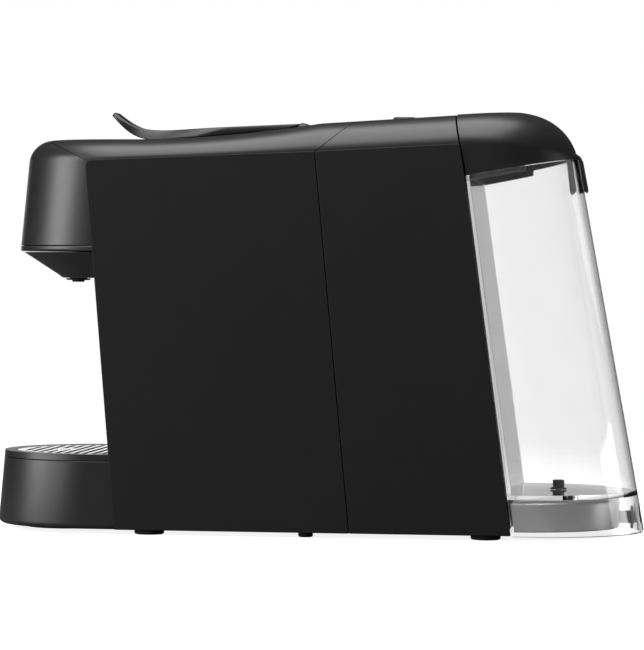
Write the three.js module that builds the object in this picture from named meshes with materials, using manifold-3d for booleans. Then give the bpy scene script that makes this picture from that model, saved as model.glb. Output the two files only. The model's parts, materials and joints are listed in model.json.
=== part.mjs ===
// A compact capsule coffee machine, in millimetres.
// +Z is up, the drip tray points to -Y, the water tank stands at +Y, and the floor is Z = 0.

import * as THREE from 'three';
import { mergeVertices } from 'three/addons/utils/BufferGeometryUtils.js';
import Module from 'manifold-3d';

const wasm = await Module();
wasm.setup();

// ---------------------------------------------------------------- driving dimensions

const GAP = 0.3;                     // clearance between pieces that touch
const HALF_WIDTH = 57;               // head, covers, tray and lid, from the middle plane
const WALL = 2.4;                    // moulded housing walls
const ARC_STEPS = 12;                // facets in a quarter turn of the round ends

const PANEL = { inner: 57.3, outer: 60, bottom: 2.7, cornerRadius: 4, seamGap: 0.4 };
const PANEL_FRONT = { bottom: -104.5, topY: -122.1, topZ: 203.25 };
const PANEL_SEAM = { bottom: 23.9, topY: 3.8, topZ: 208.4 };
const PANEL_REAR = { bottom: 110.9, neckY: 84.6, neckZ: 195.8, topY: 81.8, topZ: 212.6 };

const HEAD = { arcY: -111.2, baseZ: 157.2, lean: 0.095, edgeZ: 203.25, flatZ: 215.5 };
const SHOULDER = { side: 21, nose: 12, tail: 31.5, steps: 6 };
const CREASE = { y: -121.8, z: 203.4, slope: -0.43 };
const LIP = 3;                       // how far the covers tuck in behind the side panels

const TRIM_RING = { bottom: 153.9, rear: -98, width: 5, chamfer: 0.8 };
const SHROUD = { top: 153.4, bottom: 139.2, topRadius: 55.3, bottomRadius: 33.6, rear: -104.5, wall: 2 };
const SPOUT = { y: -136.7, flange: 7, tube: 5, bore: 2.2, bottom: 136.9, top: 143.2 };
const CHANNEL = { rear: -92.8, front: -143, halfWidth: 9, wall: 1.6 };
const DISH = { y: -113, radius: 60, rise: 58.6 };

const LEVER = { y: -6.2, z: 221.9, barrel: 2.9, bore: 1.9, pin: 1.6, halfWidth: 25 };
const TONGUE = { shoulder: -56, neck: -106, tipY: -120, halfWidth: 10, taper: 24 };
const LEVER_OPENING = { front: -31, rear: -2.9, halfWidth: 25.6 };
const SHAFT_END = 30;                // the right ear's bore is blind, the shaft goes in from the left
const EAR = { inner: 26.2, outer: 31.5, front: -11, rear: -1.4, bottom: 216 };
const CRANK = { radius: 32, angle: -105, pin: 2.5, inner: 21, outer: 24 };
const LINK = { inner: 24.4, outer: 27, length: 55, eye: 4.5, bore: 2.8 };
const BREW = { z: 181, frontY: -94, rearY: -62.6, radius: 19.5, travel: 30.4 };
const CAPSULE_SLOT = { front: -92, rear: -63, halfWidth: 19.3, corner: 4 };
const GUIDE_PIN = { y: -88, radius: 3 };
const FRAME_PLATE = { inner: 28.4, outer: 30.4 };

const TRAY = { arcY: -123.2, lean: 0.0864, bottom: 2.5, rim: 39.5, top: 43.2, wall: 2.2, tuck: 3 };
const TRAY_FOOT = { y: -141.3, radius: 25, height: 2.2 };
const GRID = { radius: 50.2, pitch: 5.3, slot: 2.8, thickness: 1.5, spotY: -143, spotRadius: 7 };
const BIN = { halfWidth: 50, faceHalfWidth: 56.6, bottom: 5.6, bodyTop: 104, faceTop: 135.8, depth: 58 };

const TANK = { halfWidth: 57.5, arcY: 122.8, arcLean: -0.185, bottom: 2.1, floor: 22, wall: 2.5 };
const LID_EDGE = { y: 84, z: 195.6, slope: 0.187 };
const LID = { arcY: 85.3, sideZ: 212.9, tailZ: 206.8, tailAngle: 12, levelY: 112, lipDepth: 3, lipRear: 116 };
const LID_SEAM_SLOPE = -0.2;
const LID_SEAM_GAP = 0.9;
const VALVE = { y: 133.3, seatRadius: 4.6, capRadius: 3.2, stemRadius: 1.6, holeRadius: 3 };
const PLINTH = { bottom: 4.3, top: 20.3, halfWidth: 52, rear: 167, front: 106 };
const GLAND = { z: 9.9, shaft: 3.5, flange: 6.2, flangeY: 173, end: 178.2 };

const FEET = { x: 49, radius: 8.1, frontY: -86.9, rearY: 96.8, height: 2.4 };
const PLATE = { bottom: 2.7, top: 5.2, halfWidth: 57, rear: 107 };
const FRONT_WALL = { front: -104.1, rear: -101.7, bottom: 137.6, top: 153.6 };
const REAR_WALL_TOP = 205;
const PEG = { x: 52, y: -0.6, radius: 4 };
const BUTTON = { y: 47.7, x: 11, radius: 6.3, proud: 1.5, travel: 1.2 };
const PUMP = { x: -20, z: 46, neck: 9, stub: 3.5, mountsY: [16, 64] };

// ---------------------------------------------------------------- materials

const finish = (color, roughness, metalness = 0, extra = {}) =>
  new THREE.MeshStandardMaterial({ color, roughness, metalness, ...extra });

const FINISH = {
  panelBlack: finish(0x161617, 0.55),
  satinBlack: finish(0x1d1d1f, 0.35),
  innerBlack: finish(0x222224, 0.6),
  steel: finish(0xc9cacb, 0.25, 1),
  castMetal: finish(0x9b9da0, 0.45, 1),
  greyPlastic: finish(0x77797c, 0.5),
  clear: finish(0xf2f6f7, 0.05, 0, { transparent: true, opacity: 0.25 }),
  rubber: finish(0x111112, 0.85),
  board: finish(0x1f5a38, 0.5),
  hose: finish(0xe8e6dd, 0.5),
};

// ---------------------------------------------------------------- solids: joining and cutting

function signedVolume(geometry) {
  const at = geometry.attributes.position;
  const index = geometry.index.array;
  const [a, b, c] = [new THREE.Vector3(), new THREE.Vector3(), new THREE.Vector3()];
  let sum = 0;
  for (let i = 0; i < index.length; i += 3) {
    a.fromBufferAttribute(at, index[i]);
    b.fromBufferAttribute(at, index[i + 1]);
    c.fromBufferAttribute(at, index[i + 2]);
    sum += a.dot(b.cross(c));
  }
  return sum / 6;
}

// A closed three.js geometry as a manifold solid, with its faces turned outward.
function solid(geometry) {
  const bare = geometry.clone();
  for (const name of Object.keys(bare.attributes)) {
    if (name !== 'position') bare.deleteAttribute(name);
  }
  const merged = mergeVertices(bare, 1e-4);
  const triangles = Uint32Array.from(merged.index.array);
  if (signedVolume(merged) < 0) {
    for (let i = 0; i < triangles.length; i += 3) {
      [triangles[i], triangles[i + 1]] = [triangles[i + 1], triangles[i]];
    }
  }
  const vertProperties = Float32Array.from(merged.attributes.position.array);
  return new wasm.Manifold(new wasm.Mesh({ numProp: 3, vertProperties, triVerts: triangles }));
}

function geometryOf(body) {
  const mesh = body.getMesh();
  const geometry = new THREE.BufferGeometry();
  geometry.setAttribute('position', new THREE.BufferAttribute(mesh.vertProperties, 3));
  geometry.setIndex(new THREE.BufferAttribute(mesh.triVerts, 1));
  geometry.computeVertexNormals();
  return geometry;
}

const join = (first, ...rest) => rest.reduce((body, piece) => body.add(piece), first);
const cut = (first, ...rest) => rest.reduce((body, piece) => body.subtract(piece), first);
const common = (first, ...rest) => rest.reduce((body, piece) => body.intersect(piece), first);

// ---------------------------------------------------------------- solids: basic shapes

function box(x0, x1, y0, y1, z0, z1) {
  const geometry = new THREE.BoxGeometry(x1 - x0, y1 - y0, z1 - z0);
  return solid(geometry.translate((x0 + x1) / 2, (y0 + y1) / 2, (z0 + z1) / 2));
}

const mirrored = (make) => [make(1), make(-1)];

// Two distances from the middle plane as a low-to-high range on the given side (1 right, -1 left).
const span = (side, near, far) => [side * near, side * far].sort((a, b) => a - b);

function outline(points) {
  return new THREE.Shape(points.map(([u, v]) => new THREE.Vector2(u, v)));
}

// An outline drawn in side view (Y across, Z up), as thick as x0 to x1.
function sidePlate(shape, x0, x1, curveSegments = 8) {
  const low = Math.min(x0, x1);
  const depth = Math.abs(x1 - x0);
  const geometry = new THREE.ExtrudeGeometry(shape, { depth, bevelEnabled: false, curveSegments });
  const turn = new THREE.Matrix4().makeBasis(
    new THREE.Vector3(0, 1, 0), new THREE.Vector3(0, 0, 1), new THREE.Vector3(1, 0, 0));
  return solid(geometry.applyMatrix4(turn).translate(low, 0, 0));
}

const sideBlock = (points, halfWidth = 90) => sidePlate(outline(points), -halfWidth, halfWidth);

// An outline drawn in plan (X across, Y away), from z0 to z1.
function planPlate(shape, z0, z1, curveSegments = 8) {
  const depth = z1 - z0;
  const geometry = new THREE.ExtrudeGeometry(shape, { depth, bevelEnabled: false, curveSegments });
  return solid(geometry.translate(0, 0, z0));
}

const AXIS_TURN = {
  x: (geometry) => geometry.rotateZ(-Math.PI / 2),
  y: (geometry) => geometry,
  z: (geometry) => geometry.rotateX(Math.PI / 2),
};

// A rod of the given radius along one axis, from one end to the other, through the point (x, y, z).
function rod(axis, radius, from, to, { x = 0, y = 0, z = 0 } = {}, sides = 20) {
  const geometry = new THREE.CylinderGeometry(radius, radius, to - from, sides);
  AXIS_TURN[axis](geometry);
  const middle = (from + to) / 2;
  const place = { x, y, z, [axis]: middle };
  return solid(geometry.translate(place.x, place.y, place.z));
}

// A profile of [radius, height] points turned about the vertical axis.
function turned(profile, segments = 24) {
  const points = profile.map(([radius, height]) => new THREE.Vector2(radius, height));
  const geometry = new THREE.LatheGeometry(points, segments);
  return solid(geometry.rotateX(Math.PI / 2));
}

// A closed ring profile: the first point comes again at the end.
const turnedRing = (profile, segments) => turned([...profile, profile[0]], segments);

// ---------------------------------------------------------------- solids: lofts with a round end

// Half-round outline: straight sides from endY to arcY, then an arc towards facing (-1 front, 1 rear).
// turn is 0 at the tip of the arc and 1 on the straight sides.
function horseshoe({ radius, arcY, endY, facing, stations = 1, inset = () => 0 }) {
  const side = [];
  for (let i = stations; i >= 1; i -= 1) {
    const y = THREE.MathUtils.lerp(arcY, endY, i / stations);
    side.push({ x: radius - inset(1), y, turn: 1 });
  }
  for (let i = ARC_STEPS; i >= 0; i -= 1) {
    const angle = (i / ARC_STEPS) * (Math.PI / 2);
    const turn = Math.sin(angle) ** 2;
    const reach = radius - inset(turn);
    side.push({ x: reach * Math.sin(angle), y: arcY + facing * reach * Math.cos(angle), turn });
  }
  const other = side.slice(0, -1).reverse().map((point) => ({ ...point, x: -point.x }));
  return [...side, ...other];
}

const ringAt = (points, zOf, lean = 0, leanZ = 0) => points.map((point) => {
  const z = zOf(point);
  return new THREE.Vector3(point.x, point.y + lean * (z - leanZ), z);
});

// Rings of equal point counts, each mirrored about the middle plane, skinned and closed at both ends.
function loft(rings) {
  const count = rings[0].length;
  const positions = rings.flat().flatMap((point) => [point.x, point.y, point.z]);
  const index = [];
  const quad = (a, b, c, d) => index.push(a, b, c, a, c, d);
  for (let level = 0; level < rings.length - 1; level += 1) {
    for (let i = 0; i < count; i += 1) {
      const next = (i + 1) % count;
      const low = level * count;
      const high = low + count;
      quad(low + i, low + next, high + next, high + i);
    }
  }
  const last = (rings.length - 1) * count;
  for (let i = 0; i < Math.floor(count / 2); i += 1) {
    const mate = count - 1 - i;
    quad(i, mate, mate - 1, i + 1);
    quad(last + i, last + i + 1, last + mate - 1, last + mate);
  }
  const clean = [];
  for (let i = 0; i < index.length; i += 3) {
    const [a, b, c] = index.slice(i, i + 3);
    if (a !== b && b !== c && c !== a) clean.push(a, b, c);
  }
  const geometry = new THREE.BufferGeometry();
  geometry.setAttribute('position', new THREE.Float32BufferAttribute(positions, 3));
  geometry.setIndex(clean);
  return solid(geometry);
}

// ---------------------------------------------------------------- lines shared by several pieces

const panelFrontY = (z) => {
  const slope = (PANEL_FRONT.topY - PANEL_FRONT.bottom) / (PANEL_FRONT.topZ - PANEL.bottom);
  return PANEL_FRONT.bottom + slope * (z - PANEL.bottom);
};

const panelRearY = (z) => {
  const slope = (PANEL_REAR.neckY - PANEL_REAR.bottom) / (PANEL_REAR.neckZ - PANEL.bottom);
  return PANEL_REAR.bottom + slope * (z - PANEL.bottom);
};

// Upper edge of the side panels, where the rounded shoulder starts.
function panelTopZ(y) {
  const front = PANEL_FRONT;
  const seam = PANEL_SEAM;
  const rear = PANEL_REAR;
  if (y < seam.topY) {
    const share = Math.max(0, (y - front.topY) / (seam.topY - front.topY));
    return THREE.MathUtils.lerp(front.topZ, seam.topZ, share);
  }
  return seam.topZ + ((rear.topZ - seam.topZ) / (rear.topY - seam.topY)) * (y - seam.topY);
}

// Roof line on the middle plane: level over the head, sweeping up to a straight slope behind the lever.
function roofZ(y) {
  const sweep = { start: -100, end: -2, rise: 0.012, curve: 0.00079, slope: 0.062 };
  const climb = (t) => HEAD.flatZ + sweep.rise * t + sweep.curve * t * t;
  if (y <= sweep.start) return HEAD.flatZ;
  if (y <= sweep.end) return climb(y - sweep.start);
  return climb(sweep.end - sweep.start) + sweep.slope * (y - sweep.end);
}

const creaseZ = (y) => CREASE.z + CREASE.slope * (y - CREASE.y);
const lidEdgeZ = (y) => LID_EDGE.z + LID_EDGE.slope * (y - LID_EDGE.y);
const lidSeamY = (z) => PANEL_REAR.topY + LID_SEAM_SLOPE * (z - PANEL_REAR.topZ);
const coverSeamY = (z) => PANEL_SEAM.topY + 1.2 * (z - PANEL_SEAM.topZ);

const degrees = THREE.MathUtils.degToRad;
const CRANK_PIN = {
  y: LEVER.y - CRANK.radius * Math.cos(degrees(CRANK.angle)),
  z: LEVER.z + CRANK.radius * Math.sin(degrees(CRANK.angle)),
};
const LINK_END = {
  y: CRANK_PIN.y - Math.sqrt(LINK.length ** 2 - (CRANK_PIN.z - BREW.z) ** 2),
  z: BREW.z,
};

// ---------------------------------------------------------------- the rounded housing

// The whole upper body: round nose, flat roof, shoulders. offset shrinks it for the inside.
function bodyHood(offset) {
  const radius = HALF_WIDTH - offset;
  const plan = (insetAt) => horseshoe({
    radius, arcY: HEAD.arcY, endY: 100, facing: -1, stations: 12, inset: insetAt });
  const edgeZ = (point) => Math.max(HEAD.edgeZ, panelTopZ(point.y)) - offset * 0.3;
  const rings = [
    ringAt(plan(() => 0), () => HEAD.baseZ - 8, HEAD.lean, HEAD.baseZ),
    ringAt(plan(() => 0), edgeZ, HEAD.lean, HEAD.baseZ),
  ];
  for (let i = 1; i <= SHOULDER.steps; i += 1) {
    const t = (i / SHOULDER.steps) * (Math.PI / 2);
    const width = (turn) => THREE.MathUtils.lerp(SHOULDER.nose, SHOULDER.side, turn) - offset;
    const points = plan((turn) => width(turn) * (1 - Math.cos(t)));
    const zOf = (point) => THREE.MathUtils.lerp(edgeZ(point), roofZ(point.y) - offset, Math.sin(t));
    rings.push(ringAt(points, zOf, HEAD.lean, HEAD.baseZ));
  }
  return loft(rings);
}

const outerBody = bodyHood(0);
const innerBody = bodyHood(WALL);
const bodyShell = cut(outerBody, innerBody);

function headShell() {
  const back = -98;
  const cheekTop = panelTopZ(CREASE.y) - LIP - GAP;
  const front = -180;
  return common(bodyShell, sideBlock([
    [front, HEAD.baseZ], [front, creaseZ(front) - GAP / 2], [CREASE.y, CREASE.z - GAP / 2],
    [CREASE.y, cheekTop], [back, cheekTop], [back, HEAD.baseZ],
  ]));
}

// The head's lower edge ring, which carries the outlet shroud.
function headTrimRing() {
  const { bottom, rear, width, chamfer } = TRIM_RING;
  const level = (z, inset) => ringAt(
    horseshoe({ radius: HALF_WIDTH - inset, arcY: HEAD.arcY, endY: rear, facing: -1 }),
    () => z, HEAD.lean, HEAD.baseZ);
  const top = HEAD.baseZ - GAP;
  const outer = loft([level(bottom, chamfer), level(bottom + chamfer, 0), level(top, 0)]);
  return cut(outer, loft([level(bottom - 1, width), level(top + 1, width)]));
}

// The dark funnel under the head, with a flat bottom around the spout.
function outletShroud() {
  const level = (z, radius) => ringAt(
    horseshoe({ radius, arcY: HEAD.arcY, endY: SHROUD.rear, facing: -1 }), () => z);
  const { top, bottom, topRadius, bottomRadius, wall } = SHROUD;
  const outer = loft([
    level(bottom, bottomRadius), level(bottom + 1.2, bottomRadius + 1.6), level(top, topRadius),
  ]);
  const inner = loft([level(bottom + wall, bottomRadius - wall + 2), level(top + 1, topRadius - wall)]);
  const spoutHole = rod('z', SPOUT.tube + GAP, bottom - 2, top, { y: SPOUT.y });
  return cut(outer, inner, spoutHole);
}

function coffeeSpout() {
  const { flange, tube, bore, bottom, top } = SPOUT;
  const flangeTop = SHROUD.bottom - GAP;
  return turnedRing([
    [bore, bottom], [bore + 1, bottom], [bore + 1.4, flangeTop - 1], [flange - 1, flangeTop - 1],
    [flange, flangeTop - 0.5], [flange, flangeTop], [tube, flangeTop], [tube, top], [tube - 1, top],
    [bore, top - 2],
  ], 18);
}

function roundedRectangle(x0, x1, y0, y1, radius) {
  const shape = new THREE.Shape();
  shape.moveTo(x0 + radius, y0);
  shape.lineTo(x1 - radius, y0);
  shape.absarc(x1 - radius, y0 + radius, radius, -Math.PI / 2, 0);
  shape.lineTo(x1, y1 - radius);
  shape.absarc(x1 - radius, y1 - radius, radius, 0, Math.PI / 2);
  shape.lineTo(x0 + radius, y1);
  shape.absarc(x0 + radius, y1 - radius, radius, Math.PI / 2, Math.PI);
  shape.lineTo(x0, y0 + radius);
  shape.absarc(x0 + radius, y0 + radius, radius, Math.PI, Math.PI * 1.5);
  return shape;
}

// Front cover: roof over the brewing group, capsule slot, lever opening, hinge ears, finger dish.
function topCoverFront() {
  const front = -175;
  const lip = (y) => panelTopZ(y) - LIP;
  const seamFoot = coverSeamY(lip(0)) - GAP / 2;
  const blank = common(bodyShell, sideBlock([
    [front, 245], [front, creaseZ(front) + GAP / 2], [CREASE.y, CREASE.z + GAP / 2],
    [CREASE.y, lip(CREASE.y)], [seamFoot, lip(seamFoot)],
    [coverSeamY(235) - GAP / 2, 235], [coverSeamY(245) - GAP / 2, 245],
  ]));
  const ears = mirrored((side) => {
    const ends = span(side, EAR.inner, EAR.outer);
    return join(
      box(...ends, EAR.front, EAR.rear, EAR.bottom, LEVER.z),
      rod('x', LEVER.barrel, ...ends, LEVER),
    );
  });
  const { front: y0, rear: y1, halfWidth: w } = LEVER_OPENING;
  const slot = CAPSULE_SLOT;
  const slotPlan = roundedRectangle(-slot.halfWidth, slot.halfWidth, slot.front, slot.rear, slot.corner);
  const ball = new THREE.SphereGeometry(DISH.radius, 40, 40);
  const dish = solid(ball.translate(0, DISH.y, HEAD.flatZ + DISH.rise));
  return cut(
    join(blank, ...ears),
    box(-w, w, y0, y1, 205, 240),
    planPlate(slotPlan, 205, 240),
    rod('x', LEVER.bore, -40, SHAFT_END + GAP, LEVER),
    dish,
  );
}

// Rear cover: roof over the heater, closed towards the tank, with two button holes.
function topCoverRear() {
  const lip = (y) => panelTopZ(y) - LIP;
  const region = (reach, back) => {
    const foot = lip(0) - reach;
    const seam = (z) => [coverSeamY(z) + GAP / 2 - reach, z];
    const end = (z) => [lidSeamY(z) - LID_SEAM_GAP / 2 - back, z];
    return sideBlock([seam(foot), seam(240), end(240), end(lip(82) - reach)]);
  };
  const blank = cut(common(outerBody, region(0, 0)), common(innerBody, region(4, WALL)));
  const holes = mirrored((side) => rod(
    'z', BUTTON.radius + GAP, 210, 240, { x: side * BUTTON.x, y: BUTTON.y }));
  return cut(blank, ...holes);
}

function pushButton() {
  const skirt = BUTTON.radius + 1.4;
  const roof = roofZ(BUTTON.y);
  const under = roof - WALL - 0.6 - BUTTON.travel;
  return turned([
    [0, under - 2.4], [3, under - 2.4], [3, under - 0.8], [skirt, under - 0.8], [skirt, under],
    [BUTTON.radius, under], [BUTTON.radius, roof + BUTTON.proud - 0.8],
    [BUTTON.radius - 0.8, roof + BUTTON.proud], [0, roof + BUTTON.proud - 0.2],
  ]);
}

function buttonBoard() {
  const top = roofZ(BUTTON.y) - WALL - 6.6;
  const board = box(-24, 24, BUTTON.y - 11, BUTTON.y + 11, top - 1.6, top);
  const switches = mirrored((side) => {
    const x = side * BUTTON.x;
    return box(x - 3, x + 3, BUTTON.y - 3, BUTTON.y + 3, top - 0.1, top + 0.7);
  });
  return join(board, ...switches);
}

// ---------------------------------------------------------------- side panels

function sidePanelFront(side) {
  const { bottom, cornerRadius: r, seamGap, inner, outer } = PANEL;
  const shape = new THREE.Shape();
  shape.moveTo(PANEL_FRONT.bottom, bottom);
  shape.lineTo(PANEL_SEAM.bottom - seamGap / 2, bottom);
  shape.lineTo(PANEL_SEAM.topY - seamGap / 2, PANEL_SEAM.topZ);
  shape.lineTo(PANEL_FRONT.topY + r, panelTopZ(PANEL_FRONT.topY + r));
  const cornerZ = PANEL_FRONT.topZ - r;
  shape.quadraticCurveTo(PANEL_FRONT.topY, PANEL_FRONT.topZ, panelFrontY(cornerZ), cornerZ);
  return sidePlate(shape, side * inner, side * outer, 5);
}

function sidePanelRear(side) {
  const { bottom, seamGap, inner, outer } = PANEL;
  return sidePlate(outline([
    [PANEL_SEAM.bottom + seamGap / 2, bottom], [PANEL_REAR.bottom, bottom],
    [PANEL_REAR.neckY, PANEL_REAR.neckZ], [PANEL_REAR.topY, PANEL_REAR.topZ],
    [PANEL_SEAM.topY + seamGap / 2, PANEL_SEAM.topZ],
  ]), side * inner, side * outer);
}

// ---------------------------------------------------------------- chassis

function basePlate() {
  const front = panelFrontY(PLATE.bottom) + 4;
  const plate = box(-PLATE.halfWidth, PLATE.halfWidth, front, PLATE.rear, PLATE.bottom, PLATE.top);
  const vents = [];
  for (let y = 20; y <= 76; y += 14) {
    vents.push(planPlate(roundedRectangle(8, 40, y, y + 5, 2.4), 0, 9, 4));
  }
  return cut(plate, ...vents);
}

// Cross wall that closes the body above the bin, notched for the coffee channel.
function frontWall() {
  const { front, rear, bottom, top } = FRONT_WALL;
  const halfWidth = PLATE.halfWidth - GAP;
  const notch = CHANNEL.halfWidth + 2 * GAP;
  return cut(
    box(-halfWidth, halfWidth, front, rear, bottom, top),
    box(-notch, notch, front - 1, rear + 1, bottom + 6, top + 1),
  );
}

// Wall that faces the tank, leaning with it.
function rearWall() {
  const low = PLATE.top + GAP;
  const high = REAR_WALL_TOP;
  const face = (z) => panelRearY(z) - 0.8;
  const wall = sidePlate(outline([
    [face(low) - WALL, low], [face(low), low], [face(high), high], [face(high) - WALL, high],
  ]), -PLATE.halfWidth + GAP, PLATE.halfWidth - GAP);
  const hoseNotch = box(-16, 16, 90, 120, 0, 21);
  return cut(wall, hoseNotch);
}

// Fixed frame of the brewing group: two slotted side plates with cross pieces.
function brewFrame() {
  const { inner, outer } = FRAME_PLATE;
  const plate = (side) => sidePlate(outline([
    [-128, 160], [13, 160], [13, 205], [2, 212], [-60, 212], [-110, 202], [-128, 198],
  ]), side * inner, side * outer);
  const pinY = GUIDE_PIN.y;
  const slot = box(-40, 40, pinY - BREW.travel - 3.6, pinY + 3.6, BREW.z - 3.6, BREW.z + 3.6);
  const window = box(-40, 40, -30, -4, 164, 184);
  const rearTie = cut(box(-outer, outer, 10, 13, 163, 200), box(-9, 9, 5, 20, BREW.z - 9, BREW.z + 9));
  const frontTie = box(-outer, outer, -128, -125.2, 186, 196);
  const plates = mirrored(plate).map((each) => cut(each, slot, window));
  return join(plates[0], plates[1], rearTie, frontTie);
}

// Moving cup that holds the capsule, with side arms back to the links and a coffee outlet in front.
function capsuleCarriage() {
  const { z, frontY, rearY, radius } = BREW;
  const at = { z };
  const cup = rod('y', radius, frontY, rearY, at, 28);
  const cavity = rod('y', 15.5, frontY + 3, rearY + 1, at, 24);
  const outletY = frontY - 3.5;
  const outlet = rod('z', 4, 158, 178, { y: outletY });
  const bores = [
    rod('z', 1.8, 150, z, { y: outletY }, 12),
    rod('y', 1.8, outletY, frontY + 5, { z: z - 3 }, 12),
  ];
  const sides = mirrored((side) => {
    const lug = box(...span(side, 12, CRANK.inner + 1), -92, -82, z - 5, z + 5);
    const arm = box(...span(side, CRANK.inner, CRANK.outer), -92, LINK_END.y + 5, z - 5, z + 5);
    const ends = span(side, CRANK.inner + 1, FRAME_PLATE.outer);
    const pin = rod('x', GUIDE_PIN.radius, ...ends, { y: GUIDE_PIN.y, z });
    return join(lug, arm, pin);
  });
  return cut(join(cup, outlet, ...sides), cavity, ...bores);
}

// Fixed head that pushes hot water into the capsule.
function injectionHead() {
  const z = BREW.z;
  const face = BREW.rearY + 0.6;
  const disc = rod('y', BREW.radius, face, face + 16, { z }, 28);
  const inlet = rod('y', 3, face + 15, face + 24, { z }, 14);
  const lugs = mirrored((side) => {
    return box(...span(side, 10, FRAME_PLATE.inner - GAP), face + 2, face + 14, z - 20, z - 11);
  });
  return cut(join(disc, inlet, ...lugs), rod('y', 1.2, face - 1, face + 30, { z }, 10));
}

// Sloping open channel from the cup outlet to the spout.
function coffeeChannel() {
  const { rear, front, halfWidth, wall } = CHANNEL;
  const body = sidePlate(outline([
    [rear, 156.8], [rear, 150.4], [front, 144.4], [front, 151],
  ]), -halfWidth, halfWidth);
  const trough = sidePlate(outline([
    [rear - wall, 160], [rear - wall, 152.2], [front + wall, 146.3], [front + wall, 160],
  ]), -halfWidth + wall, halfWidth - wall);
  return cut(body, trough, rod('z', 3.5, 140, 160, { y: SPOUT.y }, 14));
}

// ---------------------------------------------------------------- lever and links

// A bar with round ends between two pivots, drawn in side view.
function linkBar(a, b, halfHeight, x0, x1) {
  const angle = Math.atan2(b.z - a.z, b.y - a.y);
  const shape = new THREE.Shape();
  shape.absarc(a.y, a.z, halfHeight, angle + Math.PI / 2, angle + Math.PI * 1.5);
  shape.absarc(b.y, b.z, halfHeight, angle - Math.PI / 2, angle + Math.PI / 2);
  return sidePlate(shape, x0, x1, 8);
}

// Plan of the lever: full width over the roof, drawn in to a round finger tongue in front.
function tonguePlan(halfWidth) {
  const { neck, halfWidth: tip, tipY, shoulder, taper } = TONGUE;
  const shape = new THREE.Shape();
  shape.moveTo(halfWidth, 40);
  shape.lineTo(halfWidth, shoulder);
  shape.bezierCurveTo(halfWidth, shoulder - taper, tip, neck + taper, tip, neck);
  shape.lineTo(tip, tipY + tip);
  shape.absarc(0, tipY + tip, tip, 0, -Math.PI, true);
  shape.lineTo(-tip, neck);
  shape.bezierCurveTo(-tip, neck + taper, -halfWidth, shoulder - taper, -halfWidth, shoulder);
  shape.lineTo(-halfWidth, 40);
  return shape;
}

function lever() {
  const { y, z, barrel, bore, halfWidth } = LEVER;
  const shape = new THREE.Shape();
  shape.moveTo(y, z + barrel);
  shape.lineTo(-79, 221.6);
  shape.bezierCurveTo(-99, 220.9, -104, 222.8, -114.8, 231.8);
  shape.quadraticCurveTo(-117, 232, -116.5, 229.6);
  shape.bezierCurveTo(-110.5, 223.8, -106, 216.8, -93, roofZ(-93) + 0.5);
  for (let under = -84; under <= -34; under += 10) shape.lineTo(under, roofZ(under) + 0.5);
  shape.lineTo(y, z - barrel);
  shape.absarc(y, z, barrel, -Math.PI / 2, Math.PI / 2);
  const blade = sidePlate(shape, -halfWidth, halfWidth, 8);
  const plan = tonguePlan(halfWidth);
  const arms = mirrored((side) => join(
    linkBar(LEVER, CRANK_PIN, 2.6, side * CRANK.inner, side * CRANK.outer),
    rod('x', LINK.eye, ...span(side, CRANK.inner, CRANK.outer), CRANK_PIN),
    rod('x', CRANK.pin, ...span(side, CRANK.outer, LINK.outer + 0.4), CRANK_PIN),
  ));
  return cut(
    join(common(blade, planPlate(plan, 200, 240)), ...arms),
    rod('x', bore, -40, 40, LEVER),
  );
}

const leverShaft = () => rod('x', LEVER.pin, -31, SHAFT_END, LEVER, 16);

function toggleLink(side) {
  const [x0, x1] = [side * LINK.inner, side * LINK.outer];
  const bar = linkBar(LINK_END, CRANK_PIN, LINK.eye, x0, x1);
  return cut(bar, rod('x', LINK.bore, -40, 40, CRANK_PIN, 16), rod('x', LINK.bore, -40, 40, LINK_END, 16));
}

// ---------------------------------------------------------------- drip tray, grid and capsule bin

const TRAY_BACK = PANEL_FRONT.bottom + TRAY.tuck;

function trayRing(z, inset) {
  const endY = panelFrontY(z) + TRAY.tuck - inset - TRAY.lean * (z - TRAY.bottom);
  const points = horseshoe({ radius: HALF_WIDTH - inset, arcY: TRAY.arcY, endY, facing: -1 });
  return ringAt(points, () => z, TRAY.lean, TRAY.bottom);
}

const traySlice = (z0, z1, inset) => loft([trayRing(z0, inset), trayRing(z1, inset)]);

function dripTray() {
  const outer = traySlice(TRAY.bottom, TRAY.rim, 0);
  return cut(outer, traySlice(TRAY.bottom + 2.4, TRAY.rim + 2, TRAY.wall));
}

function gridFrame() {
  const outer = traySlice(TRAY.rim + GAP, TRAY.top, 0);
  const arcY = TRAY.arcY + TRAY.lean * (TRAY.top - TRAY.bottom);
  const seat = rod('z', GRID.radius + GAP, TRAY.top - GRID.thickness - GAP, TRAY.top + 2, { y: arcY }, 48);
  const well = rod('z', GRID.radius - 3, 30, 50, { y: arcY }, 48);
  const trim = box(-80, 80, TRAY_BACK - 8, 0, 30, 50);
  return cut(outer, cut(seat, trim), cut(well, trim));
}

// Slotted steel disc, with a plain spot in the middle and a straight rear edge.
function dripGrid() {
  const arcY = TRAY.arcY + TRAY.lean * (TRAY.top - TRAY.bottom);
  const top = TRAY.top - 0.2;
  const disc = rod('z', GRID.radius, top - GRID.thickness + 0.2, top, { y: arcY }, 48);
  const backEdge = TRAY_BACK - 8.4;
  const slots = [];
  const reach = GRID.radius - 4;
  for (let y = arcY - reach + 3; y < backEdge - 3; y += GRID.pitch) {
    const half = Math.sqrt(reach ** 2 - (y + GRID.slot / 2 - arcY) ** 2);
    slots.push(box(-half, half, y, y + GRID.slot, 30, 50));
  }
  const spot = rod('z', GRID.spotRadius, top - GRID.thickness + 0.2, top, { y: GRID.spotY }, 20);
  return cut(join(cut(disc, ...slots), spot), box(-80, 80, backEdge, 0, 30, 50));
}

const trayFoot = () => footDisc(TRAY_FOOT.radius, TRAY_FOOT.height, 36);

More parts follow.
